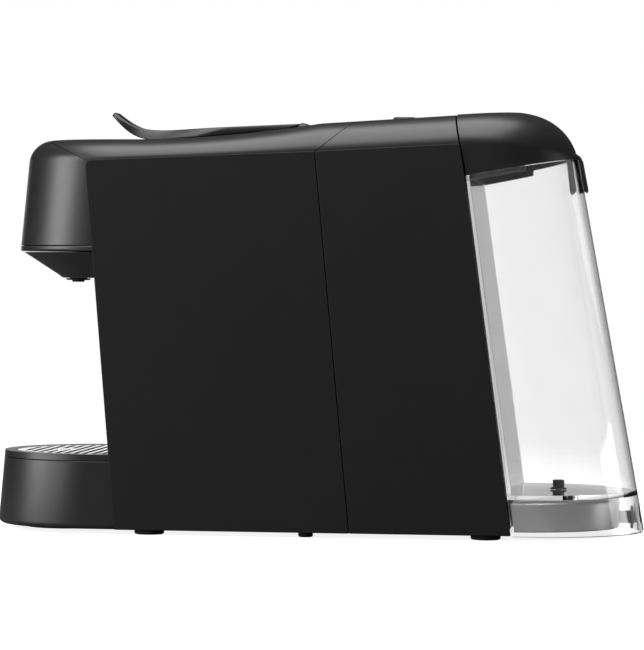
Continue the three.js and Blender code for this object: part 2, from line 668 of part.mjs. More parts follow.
// Used-capsule bin whose front face is the wall behind the cups.
function capsuleBin() {
  const face = (z) => panelFrontY(z) + TRAY.tuck + 2 * GAP;
  const thickness = 2.5;
  const { bottom, faceTop, bodyTop, depth, halfWidth, faceHalfWidth } = BIN;
  const front = sidePlate(outline([
    [face(bottom), bottom], [face(bottom) + thickness, bottom],
    [face(faceTop) + thickness, faceTop], [face(faceTop), faceTop],
  ]), -faceHalfWidth, faceHalfWidth);
  const back = face(bottom) + depth;
  const body = sidePlate(outline([
    [face(bottom) + 1, bottom], [back, bottom], [back, bodyTop], [face(bodyTop) + 1, bodyTop],
  ]), -halfWidth, halfWidth);
  const inside = bottom + 2.5;
  const hollow = sidePlate(outline([
    [face(inside) + thickness, inside], [back - 2, inside],
    [back - 2, bodyTop + 5], [face(bodyTop + 5) + thickness, bodyTop + 5],
  ]), -halfWidth + 2, halfWidth - 2);
  return cut(join(front, body), hollow);
}

// ---------------------------------------------------------------- water tank and lid

const TANK_REACH = 208;              // tank outlines run up to here before they are trimmed
const tankFrontY = (z) => panelRearY(z) + 2 * GAP;

function tankRing(z, inset, frontInset = inset) {
  const arcY = TANK.arcY + TANK.arcLean * (z - 4.3);
  const points = horseshoe({
    radius: TANK.halfWidth - inset, arcY, endY: Math.min(tankFrontY(z) + frontInset, arcY), facing: 1 });
  return ringAt(points, () => z);
}

const tankBlock = (z0, z1, inset, frontInset) => loft([
  tankRing(z0, inset, frontInset), tankRing(z1, inset, frontInset),
]);

const belowLidEdge = (drop) => sideBlock([
  [60, 0], [200, 0], [200, lidEdgeZ(200) - drop], [60, lidEdgeZ(60) - drop],
]);

// Clear tank: leaning round wall, floor with the valve hole, and a skirt around the plinth.
function waterTank() {
  const { bottom, floor, wall } = TANK;
  const floorTop = floor + 2.3;
  const outer = tankBlock(bottom, TANK_REACH, 0);
  const inside = tankBlock(floorTop, TANK_REACH, wall);
  const underside = tankBlock(bottom - 2, floor, wall, -9);
  const notchRadius = GLAND.flange + 1.4;
  const notch = join(
    rod('y', notchRadius, 160, 190, { z: GLAND.z }),
    box(-notchRadius, notchRadius, 160, 190, 0, GLAND.z),
  );
  const hole = rod('z', VALVE.holeRadius, 0, 40, { y: VALVE.y });
  return cut(common(outer, belowLidEdge(GAP)), inside, underside, notch, hole);
}

function tankValveSeat() {
  const { holeRadius, seatRadius } = VALVE;
  return turnedRing([
    [holeRadius, 24.6], [seatRadius, 24.6], [seatRadius - 0.5, 25.5], [holeRadius, 25.5],
  ]);
}

function tankValvePlunger() {
  const { capRadius, stemRadius } = VALVE;
  return turned([
    [0, 21.3], [stemRadius, 21.3], [stemRadius, 25.8], [capRadius, 25.8],
    [capRadius, 29.2], [capRadius - 0.5, 29.8], [0, 29.8],
  ], 20);
}

function lidHood(offset) {
  const radius = HALF_WIDTH - offset;
  const plan = (insetAt) => horseshoe({
    radius, arcY: LID.arcY, endY: 60, facing: 1, stations: 2, inset: insetAt });
  const edgeZ = ({ turn }) => THREE.MathUtils.lerp(LID.tailZ, LID.sideZ, turn) - offset * 0.3;
  const rings = [ringAt(plan(() => 0), () => 180), ringAt(plan(() => 0), edgeZ)];
  for (let i = 1; i <= SHOULDER.steps; i += 1) {
    const share = i / SHOULDER.steps;
    const startAt = (turn) => degrees(LID.tailAngle) * (1 - turn);
    const angleAt = (turn) => THREE.MathUtils.lerp(startAt(turn), Math.PI / 2, share);
    const width = (turn) => THREE.MathUtils.lerp(SHOULDER.tail, SHOULDER.side, turn) - offset;
    const insetAt = (turn) => width(turn) * (1 - Math.cos(angleAt(turn)) / Math.cos(startAt(turn)));
    const riseAt = (turn) => {
      const start = Math.sin(startAt(turn));
      return (Math.sin(angleAt(turn)) - start) / (1 - start);
    };
    const roofAt = (y) => roofZ(Math.min(y, LID.levelY)) - offset;
    const zOf = (point) => THREE.MathUtils.lerp(edgeZ(point), roofAt(point.y), riseAt(point.turn));
    rings.push(ringAt(plan(insetAt), zOf));
  }
  return loft(rings);
}

// Black tank lid: domed cap, a lip inside the front of the tank, and a clip that grips the rear wall.
function tankLid() {
  const region = (lift, back) => sideBlock([
    [lidSeamY(240) + back, 240], [200, 240], [200, lidEdgeZ(200) + lift],
    [lidSeamY(196) + back, lidEdgeZ(lidSeamY(196)) + lift],
  ]);
  const cap = common(lidHood(0), region(0, LID_SEAM_GAP / 2));
  const capHollow = common(lidHood(WALL), region(-20, LID_SEAM_GAP / 2 + WALL));
  const band = (low, high, rear) => sideBlock([
    [70, lidEdgeZ(70) + low], [rear, lidEdgeZ(rear) + low],
    [rear, lidEdgeZ(rear) + high], [70, lidEdgeZ(70) + high],
  ]);
  const lipInset = TANK.wall + 0.5;
  const rim = common(tankBlock(175, TANK_REACH, 0.8, 1), band(0, WALL, 200));
  const lip = common(tankBlock(175, TANK_REACH, lipInset, lipInset), band(-LID.lipDepth, WALL, LID.lipRear));
  const throat = tankBlock(175, TANK_REACH + 1, lipInset + 2, lipInset + 2);
  const clip = sidePlate(outline([
    [139.6, 208.9], [141.8, 209.2], [143.7, 207.9], [145.1, 205], [148.1, 189.4], [147.5, 187.8],
    [146.7, 188.4], [143.8, 204.2], [143.3, 206.6], [139.6, 206.6],
  ]), -11, 11);
  const leg = sidePlate(outline([
    [136.2, 207], [139.4, 207], [138.9, 204.6], [141.5, 188.4], [139.9, 186.6], [138.3, 188],
  ]), -10, 10);
  return join(cut(join(cut(cap, capHollow), rim, lip), throat), clip, leg);
}

// Grey base under the tank, open below and towards the body.
function plinth() {
  const { bottom, top, halfWidth, rear, front } = PLINTH;
  const level = (z, inset, endY) => ringAt(
    horseshoe({ radius: halfWidth - inset, arcY: rear - halfWidth, endY, facing: 1 }), () => z);
  const outer = loft([
    level(bottom, 0, front + 6), level(top - 0.8, 0, front + 4.4), level(top, 0.8, front + 4.3),
  ]);
  const hollow = loft([level(bottom - 1, 2.4, front - 3), level(top - 2.2, 2.4, front - 3)]);
  const socketHole = rod('z', 5.4, 0, 30, { y: VALVE.y });
  const glandHole = rod('y', GLAND.shaft + GAP, 150, 180, { z: GLAND.z });
  return cut(outer, hollow, socketHole, glandHole);
}

function cordGland() {
  const { shaft, flange, end, flangeY } = GLAND;
  const start = PLINTH.rear - 6;
  return turnedRing([
    [2, start], [shaft, start], [shaft, flangeY], [flange, flangeY], [flange, flangeY + 1.5],
    [shaft, flangeY + 1.5], [shaft - 0.4, end], [2, end],
  ], 20);
}

function tankSocket() {
  const { top } = PLINTH;
  const cup = turned([[0, 8], [5, 8], [5, top + GAP], [9, top + GAP], [9, top + 1.4], [0, top + 1.4]], 20);
  const outlet = rod('y', 3.2, -9, 0, { z: 12 }, 12);
  const bores = [rod('z', 2.4, 10.5, 30, {}, 14), rod('y', 1.8, -12, 0, { z: 12 }, 10)];
  return cut(join(cup, outlet), ...bores);
}

// ---------------------------------------------------------------- feet

function footDisc(radius, height = FEET.height, segments = 24) {
  return turned([[0, 0], [radius - 1, 0], [radius, 0.8], [radius, height], [0, height]], segments);
}

// ---------------------------------------------------------------- pump, heater, hoses and boards

const alongY = (body) => body.rotate([-90, 0, 0]);

// Vibration pump: square coil body between two round necks.
function pump() {
  const body = box(-17, 17, 24, 56, -17, 17);
  const necks = [[8, 25], [55, 72]].map(([from, to]) => rod('y', PUMP.neck, from, to, {}, 18));
  const stubs = [[0, 9], [71, 80]].map(([from, to]) => rod('y', PUMP.stub, from, to, {}, 12));
  return join(body, ...necks, ...stubs);
}

// Rubber saddle that holds a pump neck.
function pumpMount() {
  const block = box(-15, 15, -4, 4, -PUMP.z + PLATE.top + GAP, 6);
  return cut(block, rod('y', PUMP.neck + GAP, -10, 10, {}, 18), box(-7, 7, -10, 10, 0, 20));
}

// Cast heater block with its two water stubs.
function heaterBlock() {
  const body = box(-24, 24, 24, 72, 132, 190);
  const dome = rod('x', 16, -27, 27, { y: 48, z: 161 }, 24);
  const stubs = [
    rod('z', PUMP.stub, 122, 133, { x: -14, y: 60 }, 12),
    rod('y', PUMP.stub, 15, 25, { z: BREW.z }, 12),
  ];
  return join(body, dome, ...stubs);
}

function flowMeter() {
  const wheel = rod('z', 13, 8, 20, { x: -20, y: 86 }, 24);
  const arms = [
    rod('x', 3.2, -8, 0, { y: 86, z: 14 }, 12),
    rod('z', 3.2, 19, 27, { x: -20, y: 86 }, 12),
  ];
  return join(wheel, ...arms);
}

function controlBoard() {
  const x = 44;
  const board = box(x, x + 1.6, -20, 60, 40, 120);
  const parts = [
    box(x - 14, x + 0.1, -6, 14, 92, 108),
    box(x - 10, x + 0.1, 26, 44, 50, 80),
    box(x - 8, x + 0.1, -12, 6, 50, 66),
  ];
  return join(board, ...parts);
}

function hose(points, radius = 3) {
  const corners = points.map((point) => new THREE.Vector3(...point));
  const path = new THREE.CatmullRomCurve3(corners, false, 'centripetal');
  const section = new THREE.Shape();
  section.absarc(0, 0, radius, 0, Math.PI * 2);
  const steps = Math.round(path.getLength() / (radius * 4));
  return solid(new THREE.ExtrudeGeometry(section, { steps, curveSegments: 4, extrudePath: path }));
}

const supplyHose = () => hose([[0, VALVE.y - 9.6, 12], [0, 116, 12], [0, 108, 13], [0, 99.4, 14]]);
const pumpHose = () => hose([[-20, 86, 27.4], [-20, 86, 32], [-20, 96, 40], [-20, 90, 46], [-20, 80.6, 46]]);
const heaterHose = () => hose([
  [PUMP.x, -0.6, PUMP.z], [PUMP.x, -6, PUMP.z], [-22, -14, 60], [-20, -4, 90],
  [-16, 40, 106], [-14, 59, 112], [-14, 60, 121.4],
]);
const brewHose = () => hose([
  [0, 14.5, BREW.z], [0, 8, BREW.z], [0, -12, BREW.z - 5], [0, -30, BREW.z], [0, -37.2, BREW.z],
]);

// ---------------------------------------------------------------- the assembly

const machine = new THREE.Group();

function place(name, body, material, position = [0, 0, 0], parent = machine) {
  const mesh = new THREE.Mesh(geometryOf(body), material);
  mesh.name = name;
  mesh.position.set(...position);
  parent.add(mesh);
}

const bySide = (make) => [['right', 1], ['left', -1]].forEach(([name, side]) => make(name, side));

bySide((name, side) => {
  place(`side_panel_front_${name}`, sidePanelFront(side), FINISH.panelBlack);
  place(`side_panel_rear_${name}`, sidePanelRear(side), FINISH.panelBlack);
  place(`foot_front_${name}`, footDisc(FEET.radius), FINISH.rubber, [side * FEET.x, FEET.frontY, 0]);
  place(`foot_rear_${name}`, footDisc(FEET.radius), FINISH.rubber, [side * FEET.x, FEET.rearY, 0]);
  place(`foot_middle_${name}`, footDisc(PEG.radius), FINISH.rubber, [side * PEG.x, PEG.y, 0]);
  place(`toggle_link_${name}`, toggleLink(side), FINISH.steel);
  place(`push_button_${name}`, pushButton(), FINISH.satinBlack, [side * BUTTON.x, BUTTON.y, 0]);
});

place('head_shell', headShell(), FINISH.satinBlack);
place('head_trim_ring', headTrimRing(), FINISH.satinBlack);
place('outlet_shroud', outletShroud(), FINISH.innerBlack);
place('coffee_spout', coffeeSpout(), FINISH.innerBlack, [0, SPOUT.y, 0]);
place('top_cover_front', topCoverFront(), FINISH.satinBlack);
place('top_cover_rear', topCoverRear(), FINISH.satinBlack);
place('base_plate', basePlate(), FINISH.innerBlack);
place('front_wall', frontWall(), FINISH.innerBlack);
place('rear_wall', rearWall(), FINISH.innerBlack);

place('lever', lever(), FINISH.satinBlack);
place('lever_shaft', leverShaft(), FINISH.steel);
place('brew_frame', brewFrame(), FINISH.steel);
place('capsule_carriage', capsuleCarriage(), FINISH.innerBlack);
place('injection_head', injectionHead(), FINISH.innerBlack);
place('coffee_channel', coffeeChannel(), FINISH.innerBlack);

place('drip_tray', dripTray(), FINISH.satinBlack);
place('tray_foot', trayFoot(), FINISH.rubber, [0, TRAY_FOOT.y, 0]);
place('grid_frame', gridFrame(), FINISH.satinBlack);
place('drip_grid', dripGrid(), FINISH.steel);
place('capsule_bin', capsuleBin(), FINISH.innerBlack);

place('plinth', plinth(), FINISH.greyPlastic);
place('cord_gland', alongY(cordGland()), FINISH.innerBlack, [0, 0, GLAND.z]);
place('tank_socket', tankSocket(), FINISH.innerBlack, [0, VALVE.y, 0]);
place('water_tank', waterTank(), FINISH.clear);
place('tank_valve_seat', tankValveSeat(), FINISH.innerBlack, [0, VALVE.y, 0]);
place('tank_valve_plunger', tankValvePlunger(), FINISH.innerBlack, [0, VALVE.y, 0]);
place('tank_lid', tankLid(), FINISH.satinBlack);

place('button_board', buttonBoard(), FINISH.board);
place('control_board', controlBoard(), FINISH.board);
place('pump', pump(), FINISH.castMetal, [PUMP.x, 0, PUMP.z]);
place('pump_mount_front', pumpMount(), FINISH.rubber, [PUMP.x, PUMP.mountsY[0], PUMP.z]);
place('pump_mount_rear', pumpMount(), FINISH.rubber, [PUMP.x, PUMP.mountsY[1], PUMP.z]);
place('heater_block', heaterBlock(), FINISH.castMetal);
place('flow_meter', flowMeter(), FINISH.greyPlastic);
place('supply_hose', supplyHose(), FINISH.hose);
place('pump_hose', pumpHose(), FINISH.hose);
place('heater_hose', heaterHose(), FINISH.hose);
place('brew_hose', brewHose(), FINISH.hose);

export default machine;
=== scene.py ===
"""Looks of the pod coffee machine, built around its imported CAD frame.

The shell pieces are rebuilt here as smooth, finely rounded meshes over the CAD nodes they stand for.
Outlines are worked in millimetres, in the CAD frame, and turned into metres when a mesh is made.
"""

import json
import math

import bmesh
import bpy
from mathutils import Matrix, Vector


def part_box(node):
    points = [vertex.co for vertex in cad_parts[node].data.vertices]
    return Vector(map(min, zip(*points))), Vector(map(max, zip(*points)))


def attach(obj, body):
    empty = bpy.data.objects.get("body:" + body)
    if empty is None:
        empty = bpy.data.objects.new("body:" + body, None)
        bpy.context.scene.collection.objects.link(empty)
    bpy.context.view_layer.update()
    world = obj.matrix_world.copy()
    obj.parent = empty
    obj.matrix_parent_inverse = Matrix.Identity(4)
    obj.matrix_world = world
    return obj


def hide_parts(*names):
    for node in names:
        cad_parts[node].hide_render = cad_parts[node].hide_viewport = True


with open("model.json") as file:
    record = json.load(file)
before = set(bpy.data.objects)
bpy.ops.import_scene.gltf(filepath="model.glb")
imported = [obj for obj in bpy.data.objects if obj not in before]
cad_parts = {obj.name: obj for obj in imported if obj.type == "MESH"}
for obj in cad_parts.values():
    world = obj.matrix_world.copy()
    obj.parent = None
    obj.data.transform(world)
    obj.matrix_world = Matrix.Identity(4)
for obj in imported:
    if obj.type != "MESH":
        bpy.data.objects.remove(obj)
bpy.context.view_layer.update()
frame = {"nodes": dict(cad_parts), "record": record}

# -------- dimensions, millimetres

MM = 0.001
GAP = 0.3  # clearance between neighbouring pieces
WALL = 2.4  # moulded walls
ARC = 40  # steps in a quarter turn of the round ends
EDGE = 0.55  # usual edge rounding
FINE_EDGE = 0.3  # edge rounding of thin pieces
SHARP = math.radians(38)  # faces that meet at more than this have an edge between them


def reach(node):
    """Lowest and highest corner of a CAD node, in millimetres."""
    low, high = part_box(node)
    return Vector(low) / MM, Vector(high) / MM


HEAD_LOW, HEAD_HIGH = reach("head_shell")
PANEL_LOW, PANEL_HIGH = reach("side_panel_front_right")
REAR_LOW, REAR_HIGH = reach("side_panel_rear_right")
TRAY_LOW, TRAY_HIGH = reach("drip_tray")
FRAME_LOW, FRAME_HIGH = reach("grid_frame")
GRID_LOW, GRID_HIGH = reach("drip_grid")
TANK_LOW, TANK_HIGH = reach("water_tank")
PLINTH_LOW, PLINTH_HIGH = reach("plinth")
RING_LOW, RING_HIGH = reach("head_trim_ring")
SHROUD_LOW, SHROUD_HIGH = reach("outlet_shroud")
SHAFT_LOW, SHAFT_HIGH = reach("lever_shaft")
LEVER_HIGH = reach("lever")[1]
BIN_LOW, BIN_HIGH = reach("capsule_bin")
GLAND_LOW, GLAND_HIGH = reach("cord_gland")

HALF = HEAD_HIGH.x  # half width of head, covers and tray
HEAD_ARC_Y = -111.2  # centre of the head's round front
HEAD_LEAN = 0.095  # the body leans to the rear as it rises
EDGE_Z = 203.25  # where the head's shoulder starts
FLAT_Z = 215.5  # roof over the head
SHOULDER_SIDE = 21.0  # width of the rounded shoulder along the sides
SHOULDER_NOSE = 12.0  # at the front of the head
SHOULDER_TAIL = 31.5  # at the back of the lid
SHOULDER_STEPS = 18
HOLE_RANGE = (205, 240)  # heights between which tools cut through the roof
CREASE = Vector((0, -121.8, 203.4))
CREASE_SLOPE = -0.43  # line between head shell and front cover
COVER_SEAM_SLOPE = 1.2  # line between the two covers
LID_SEAM_SLOPE = -0.2  # line between rear cover and lid
LID_SEAM_GAP = 0.9
COVER_LIP = 3.0  # the covers reach this far down behind the side panels
COVER_EDGE = 0.45  # edge rounding of covers and side panels
LID_EDGE_ROUND = 0.4  # edge rounding of the lid and its clip
PANEL_FRONT_BOTTOM = -104.5
PANEL_FRONT_TOP = PANEL_LOW.y
PANEL_CORNER = 4.0
HALF_SEAM = 0.2  # half of the gap between front and rear side panels
SEAM_TOP_Y = REAR_LOW.y - HALF_SEAM
SEAM_BOTTOM_Y = PANEL_HIGH.y + HALF_SEAM
SEAM_TOP_Z = PANEL_HIGH.z
REAR_NECK = (84.6, 195.8)  # where the rear panel's back edge turns along the lid
REAR_TOP_Y = 81.8
TRAY_ARC_Y = -123.2
TRAY_LEAN = 0.0864
TRAY_TUCK = 3.0  # the tray's ends reach behind the side panels
TRAY_WALL = 2.2
TANK_ARC_Y = 122.8
TANK_ARC_Z = 4.3  # height at which TANK_ARC_Y holds
TANK_LEAN = -0.185
TANK_WALL = 2.5
TANK_FLOOR = (22.0, 24.3)
TANK_REACH = 208  # tank outlines run up to here before they are trimmed
LID_EDGE = (84.0, 195.6, 0.187)
LID_ARC_Y = 85.3
LID_SIDE_Z = 212.9
LID_TAIL_Z = 206.8
LID_TAIL_ANGLE = 12.0
LID_LEVEL_Y = 112  # the lid's roof stops rising here
LIP_DEPTH = 3  # the lid's lip inside the tank
LIP_REAR = 116
SHAFT_Y = (SHAFT_LOW.y + SHAFT_HIGH.y) / 2
SHAFT_Z = (SHAFT_LOW.z + SHAFT_HIGH.z) / 2
SHAFT_BORE = 1.9
LEVER_BARREL = 2.9
EAR = (26.2, 31.5)  # inner and outer side of the hinge ears
DISH_Y = -113  # finger dish under the lever's tip
DISH_RADIUS = 60
DISH_RISE = 58.6  # the dish's ball centre above the roof
GRID_SPOT = (-143, 7)  # place and radius of the round spot in the grid


def middle_of(node):
    """Centre of a CAD node's box, in millimetres."""
    low, high = reach(node)
    return (low + high) / 2


VALVE_Y = (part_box("tank_valve_plunger")[0].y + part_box("tank_valve_plunger")[1].y) / 2 / MM
SPOUT_Y = (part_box("coffee_spout")[0].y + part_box("coffee_spout")[1].y) / 2 / MM
GLAND_Z = (GLAND_LOW.z + GLAND_HIGH.z) / 2


def lerp(a, b, t):
    return a + (b - a) * t


def panel_front_y(z):
    slope = (PANEL_FRONT_TOP - PANEL_FRONT_BOTTOM) / (EDGE_Z - PANEL_LOW.z)
    return PANEL_FRONT_BOTTOM + slope * (z - PANEL_LOW.z)


def panel_rear_y(z):
    slope = (REAR_NECK[0] - REAR_HIGH.y) / (REAR_NECK[1] - REAR_LOW.z)
    return REAR_HIGH.y + slope * (z - REAR_LOW.z)


def panel_top_z(y):
    """Upper edge of the side panels, where the rounded shoulder starts."""
    if y < SEAM_TOP_Y:
        share = max(0.0, (y - PANEL_FRONT_TOP) / (SEAM_TOP_Y - PANEL_FRONT_TOP))
        return lerp(EDGE_Z, SEAM_TOP_Z, share)
    slope = (REAR_HIGH.z - SEAM_TOP_Z) / (REAR_TOP_Y - SEAM_TOP_Y)
    return SEAM_TOP_Z + slope * (y - SEAM_TOP_Y)


def roof_z(y):
    """Roof line: level over the head, sweeping up to a straight slope behind the lever."""
    start, end = -100.0, -2.0
    rise, curve, slope = 0.012, 0.00079, 0.062
    if y <= start:
        return FLAT_Z
    t = min(y, end) - start
    return FLAT_Z + rise * t + curve * t * t + slope * max(0.0, y - end)


def lid_edge_z(y):
    return LID_EDGE[1] + LID_EDGE[2] * (y - LID_EDGE[0])


# -------- materials


def plug(tree, socket, value):
    """Links a node's output to the socket, or sets the socket to a plain value."""
    if isinstance(value, bpy.types.NodeSocket):
        tree.links.new(value, socket)
    else:
        socket.default_value = value


class Shader:
    """A small helper that adds nodes to one material."""

    def __init__(self, name):
        self.material = bpy.data.materials.new(name)
        self.material.use_nodes = True
        self.tree = self.material.node_tree
        self.surface = self.tree.nodes["Principled BSDF"]
        self.coordinates = self.tree.nodes.new("ShaderNodeTexCoord").outputs["Object"]

    def add(self, kind, links=None, **settings):
        node = self.tree.nodes.new(kind)
        for key, value in settings.items():
            setattr(node, key, value)
        for socket, value in (links or {}).items():
            plug(self.tree, node.inputs[socket], value)
        return node

    def feed(self, socket, output):
        self.tree.links.new(output, self.surface.inputs[socket])

    def stretched(self, scale):
        mapping = self.add("ShaderNodeMapping", {"Vector": self.coordinates})
        mapping.inputs["Scale"].default_value = scale
        return mapping.outputs["Vector"]

    def noise(self, scale, detail=3.0, roughness=0.5, vector=None):
        vector = vector or self.coordinates
        links = {"Vector": vector, "Scale": scale, "Detail": detail, "Roughness": roughness}
        return self.add("ShaderNodeTexNoise", links).outputs["Fac"]

    def span(self, value, low, high, source=(0.3, 0.7)):
        links = {"Value": value, "From Min": source[0], "From Max": source[1]}
        links.update({"To Min": low, "To Max": high})
        return self.add("ShaderNodeMapRange", links).outputs["Result"]

    def blend(self, factor, first, second):
        mix = self.add("ShaderNodeMix", data_type="RGBA")
        for socket, value in (("Factor", factor), (6, first), (7, second)):
            plug(self.tree, mix.inputs[socket], value)
        return mix.outputs[2]

    def bump(self, height, strength, distance):
        links = {"Height": height, "Strength": strength, "Distance": distance}
        node = self.add("ShaderNodeBump", links)
        self.feed("Normal", node.outputs["Normal"])


def grey(value, tint=(1.0, 1.0, 1.0)):
    return (value * tint[0], value * tint[1], value * tint[2], 1.0)


def moulded(name, shade, roughness, grain=2600, depth=0.1, specular=0.5, metallic=0.0):
    """Moulded plastic: spark-eroded grain, with faint flow marks in its colour and gloss."""
    s = Shader(name)
    flow = s.noise(28, 4)
    grainy = s.noise(grain, 2, 0.6)
    base = s.blend(s.span(flow, 0, 1), grey(shade * 0.95), grey(shade * 1.05, (1.0, 1.0, 1.02)))
    s.feed("Base Color", base)
    s.feed("Roughness", s.span(s.noise(140, 5), roughness - 0.015, roughness + 0.015))
    s.bump(grainy, depth, 0.0002)
    s.surface.inputs["Specular IOR Level"].default_value = specular
    s.surface.inputs["Metallic"].default_value = metallic
    return s.material


def brushed(name, shade, roughness, direction=(6, 900, 900)):
    """Satin brushed steel with fine scratches along one axis."""
    s = Shader(name)
    lines = s.noise(1.0, 6, 0.7, s.stretched(direction))
    s.feed("Base Color", s.blend(s.span(lines, 0, 1), grey(shade * 0.86), grey(shade, (1, 0.995, 0.985))))
    s.feed("Roughness", s.span(lines, roughness - 0.06, roughness + 0.08))
    s.bump(lines, 0.12, 0.0001)
    s.surface.inputs["Metallic"].default_value = 1.0
    return s.material


def cast(name, shade, roughness):
    """Rough cast metal with a pebbled skin and darker pores."""
    s = Shader(name)
    pebbles = s.add("ShaderNodeTexVoronoi", {"Vector": s.coordinates, "Scale": 900.0})
    pores = s.noise(420, 5, 0.65)
    s.feed("Base Color", s.blend(s.span(pores, 0, 1), grey(shade * 0.7), grey(shade)))
    s.feed("Roughness", s.span(pores, roughness - 0.1, roughness + 0.1))
    s.bump(pebbles.outputs["Distance"], 0.25, 0.0003)
    s.surface.inputs["Metallic"].default_value = 1.0
    return s.material


def rubbery(name, shade):
    """Matt rubber with dust caught in its skin."""
    s = Shader(name)
    dust = s.noise(260, 6, 0.7)
    s.feed("Base Color", s.blend(s.span(dust, 0, 1), grey(shade * 0.8), grey(shade * 1.7, (1, 0.98, 0.95))))
    s.feed("Roughness", s.span(dust, 0.78, 0.95))
    s.bump(s.noise(1500, 2), 0.2, 0.0003)
    return s.material


def clear_plastic(name):
    """Clear moulded plastic with faint flow waves and a light bloom of scratches."""
    s = Shader(name)
    s.surface.inputs["Transmission Weight"].default_value = 1.0
    s.surface.inputs["IOR"].default_value = 1.49
    bloom = s.noise(60, 5)
    s.feed("Base Color", s.blend(s.span(bloom, 0, 1), grey(0.97), grey(0.985)))
    s.feed("Roughness", s.span(bloom, 0.02, 0.05))
    s.bump(s.noise(22, 2), 0.02, 0.0005)
    return s.material


def circuit(name):
    """Green circuit board with copper tracks under the mask and pale pads."""
    s = Shader(name)
    tracks = s.add("ShaderNodeTexBrick", {
        "Vector": s.coordinates, "Scale": 160.0, "Mortar Size": 0.02,
        "Color1": grey(0.03, (0.5, 2.6, 1.2)), "Color2": grey(0.03, (0.4, 2.0, 1.0)),
        "Mortar": grey(0.09, (0.9, 2.4, 1.0))})
    spots = s.add("ShaderNodeTexVoronoi", {"Vector": s.coordinates, "Scale": 210.0})
    pads = s.span(spots.outputs["Distance"], 1, 0, (0.12, 0.16))
    s.feed("Base Color", s.blend(pads, tracks.outputs["Color"], grey(0.6, (1, 0.95, 0.8))))
    s.feed("Roughness", s.span(s.noise(300), 0.3, 0.5))
    s.bump(pads, 0.2, 0.0002)
    return s.material


def silicone(name):
    """Milky silicone hose with fine extrusion lines."""
    s = Shader(name)
    lines = s.noise(1.0, 3, 0.5, s.stretched((1400, 60, 1400)))
    milky = s.blend(s.span(lines, 0, 1), grey(0.68, (1, 0.99, 0.94)), grey(0.8, (1, 0.99, 0.95)))
    s.feed("Base Color", milky)
    s.feed("Roughness", s.span(lines, 0.35, 0.5))
    s.bump(lines, 0.1, 0.0002)
    s.surface.inputs["Subsurface Weight"].default_value = 0.2
    return s.material


MATERIALS = {
    "side_panel": moulded("matt_black", 0.006, 0.55, grain=3200, depth=0.12, specular=0.2),
    "housing": moulded("satin_black", 0.008, 0.38, grain=2600, depth=0.04),
    "inner_plastic": moulded("inner_black", 0.01, 0.5, grain=2200, depth=0.12, specular=0.3),
    "grey_plastic": moulded("grey_plastic", 0.26, 0.34, grain=2400, depth=0.05, metallic=0.9),
    "steel": brushed("brushed_steel", 0.85, 0.22),
    "cast_metal": cast("cast_metal", 0.55, 0.45),
    "clear_plastic": clear_plastic("clear_plastic"),
    "rubber": rubbery("rubber", 0.02),
    "circuit_board": circuit("circuit_board"),
    "hose": silicone("silicone_hose"),
}

# -------- mesh making


def in_scene(name, data):
    """A new object of the scene, holding a mesh, a light or a camera."""
    thing = bpy.data.objects.new(name, data)
    bpy.context.scene.collection.objects.link(thing)
    return thing


def new_piece(name, vertices, faces):
    """A mesh object from millimetre vertices."""
    mesh = bpy.data.meshes.new(name)
    mesh.from_pydata([tuple(c * MM for c in v) for v in vertices], [], faces)
    return tidy(in_scene(name, mesh))


def edit(piece, work):
    """Runs work(bm) on the piece's mesh and writes it back."""
    bm = bmesh.new()
    bm.from_mesh(piece.data)
    work(bm)
    bm.to_mesh(piece.data)
    bm.free()
    piece.data.update()
    return piece


def tidy(piece, distance=0.01):
    """Merges doubled points and turns the faces outward."""
    def work(bm):
        bmesh.ops.remove_doubles(bm, verts=bm.verts, dist=distance * MM)
        bmesh.ops.dissolve_degenerate(bm, edges=bm.edges, dist=distance * MM)
        bmesh.ops.recalc_face_normals(bm, faces=bm.faces)
    return edit(piece, work)


def bake(piece):
    """Applies every modifier of the piece."""
    graph = bpy.context.evaluated_depsgraph_get()
    graph.update()
    mesh = bpy.data.meshes.new_from_object(piece.evaluated_get(graph))
    piece.modifiers.clear()
    piece.data = mesh
    return piece


def combine(piece, tool, operation):
    """Boolean of two pieces: DIFFERENCE or UNION. The tool is used up."""
    modifier = piece.modifiers.new("combine", "BOOLEAN")
    modifier.object = tool
    modifier.operation = operation
    modifier.solver = "EXACT"
    bake(piece)
    bpy.data.objects.remove(tool)
    return piece


def less(piece, *tools):
    for tool in tools:
        combine(piece, tool, "DIFFERENCE")
    return piece


def plus(piece, *tools):
    for tool in tools:
        combine(piece, tool, "UNION")
    return piece


def cut_away(piece, point, normal):
    """Removes what lies on the side of a plane that normal points to, leaving the cut open."""
    def work(bm):
        geometry = list(bm.verts) + list(bm.edges) + list(bm.faces)
        bmesh.ops.bisect_plane(
            bm, geom=geometry, dist=1e-7, plane_co=Vector(point) * MM, plane_no=Vector(normal),
            clear_outer=True)
        bmesh.ops.remove_doubles(bm, verts=bm.verts, dist=0.12 * MM)
    return edit(piece, work)


def close_end(piece, point, normal):
    """Closes the open section that lies in a plane with one face."""
    def work(bm):
        origin = Vector(point) * MM
        facing = Vector(normal).normalized()
        rim = [v for v in bm.verts if v.is_boundary and abs((v.co - origin).dot(facing)) < 1e-5]
        middle = Vector((0, 0, min(v.co.z for v in rim)))
        rim.sort(key=lambda v: math.atan2(v.co.z - middle.z, v.co.x))
        bm.faces.new(rim)
        bmesh.ops.recalc_face_normals(bm, faces=bm.faces)
    return edit(piece, work)


def thicken(piece, thickness):
    """Gives a sheet a wall on its inner side."""
    modifier = piece.modifiers.new("thicken", "SOLIDIFY")
    modifier.thickness = thickness * MM
    modifier.offset = -1.0
    return bake(piece)


def smooth(piece):
    for face in piece.data.polygons:
        face.use_smooth = True


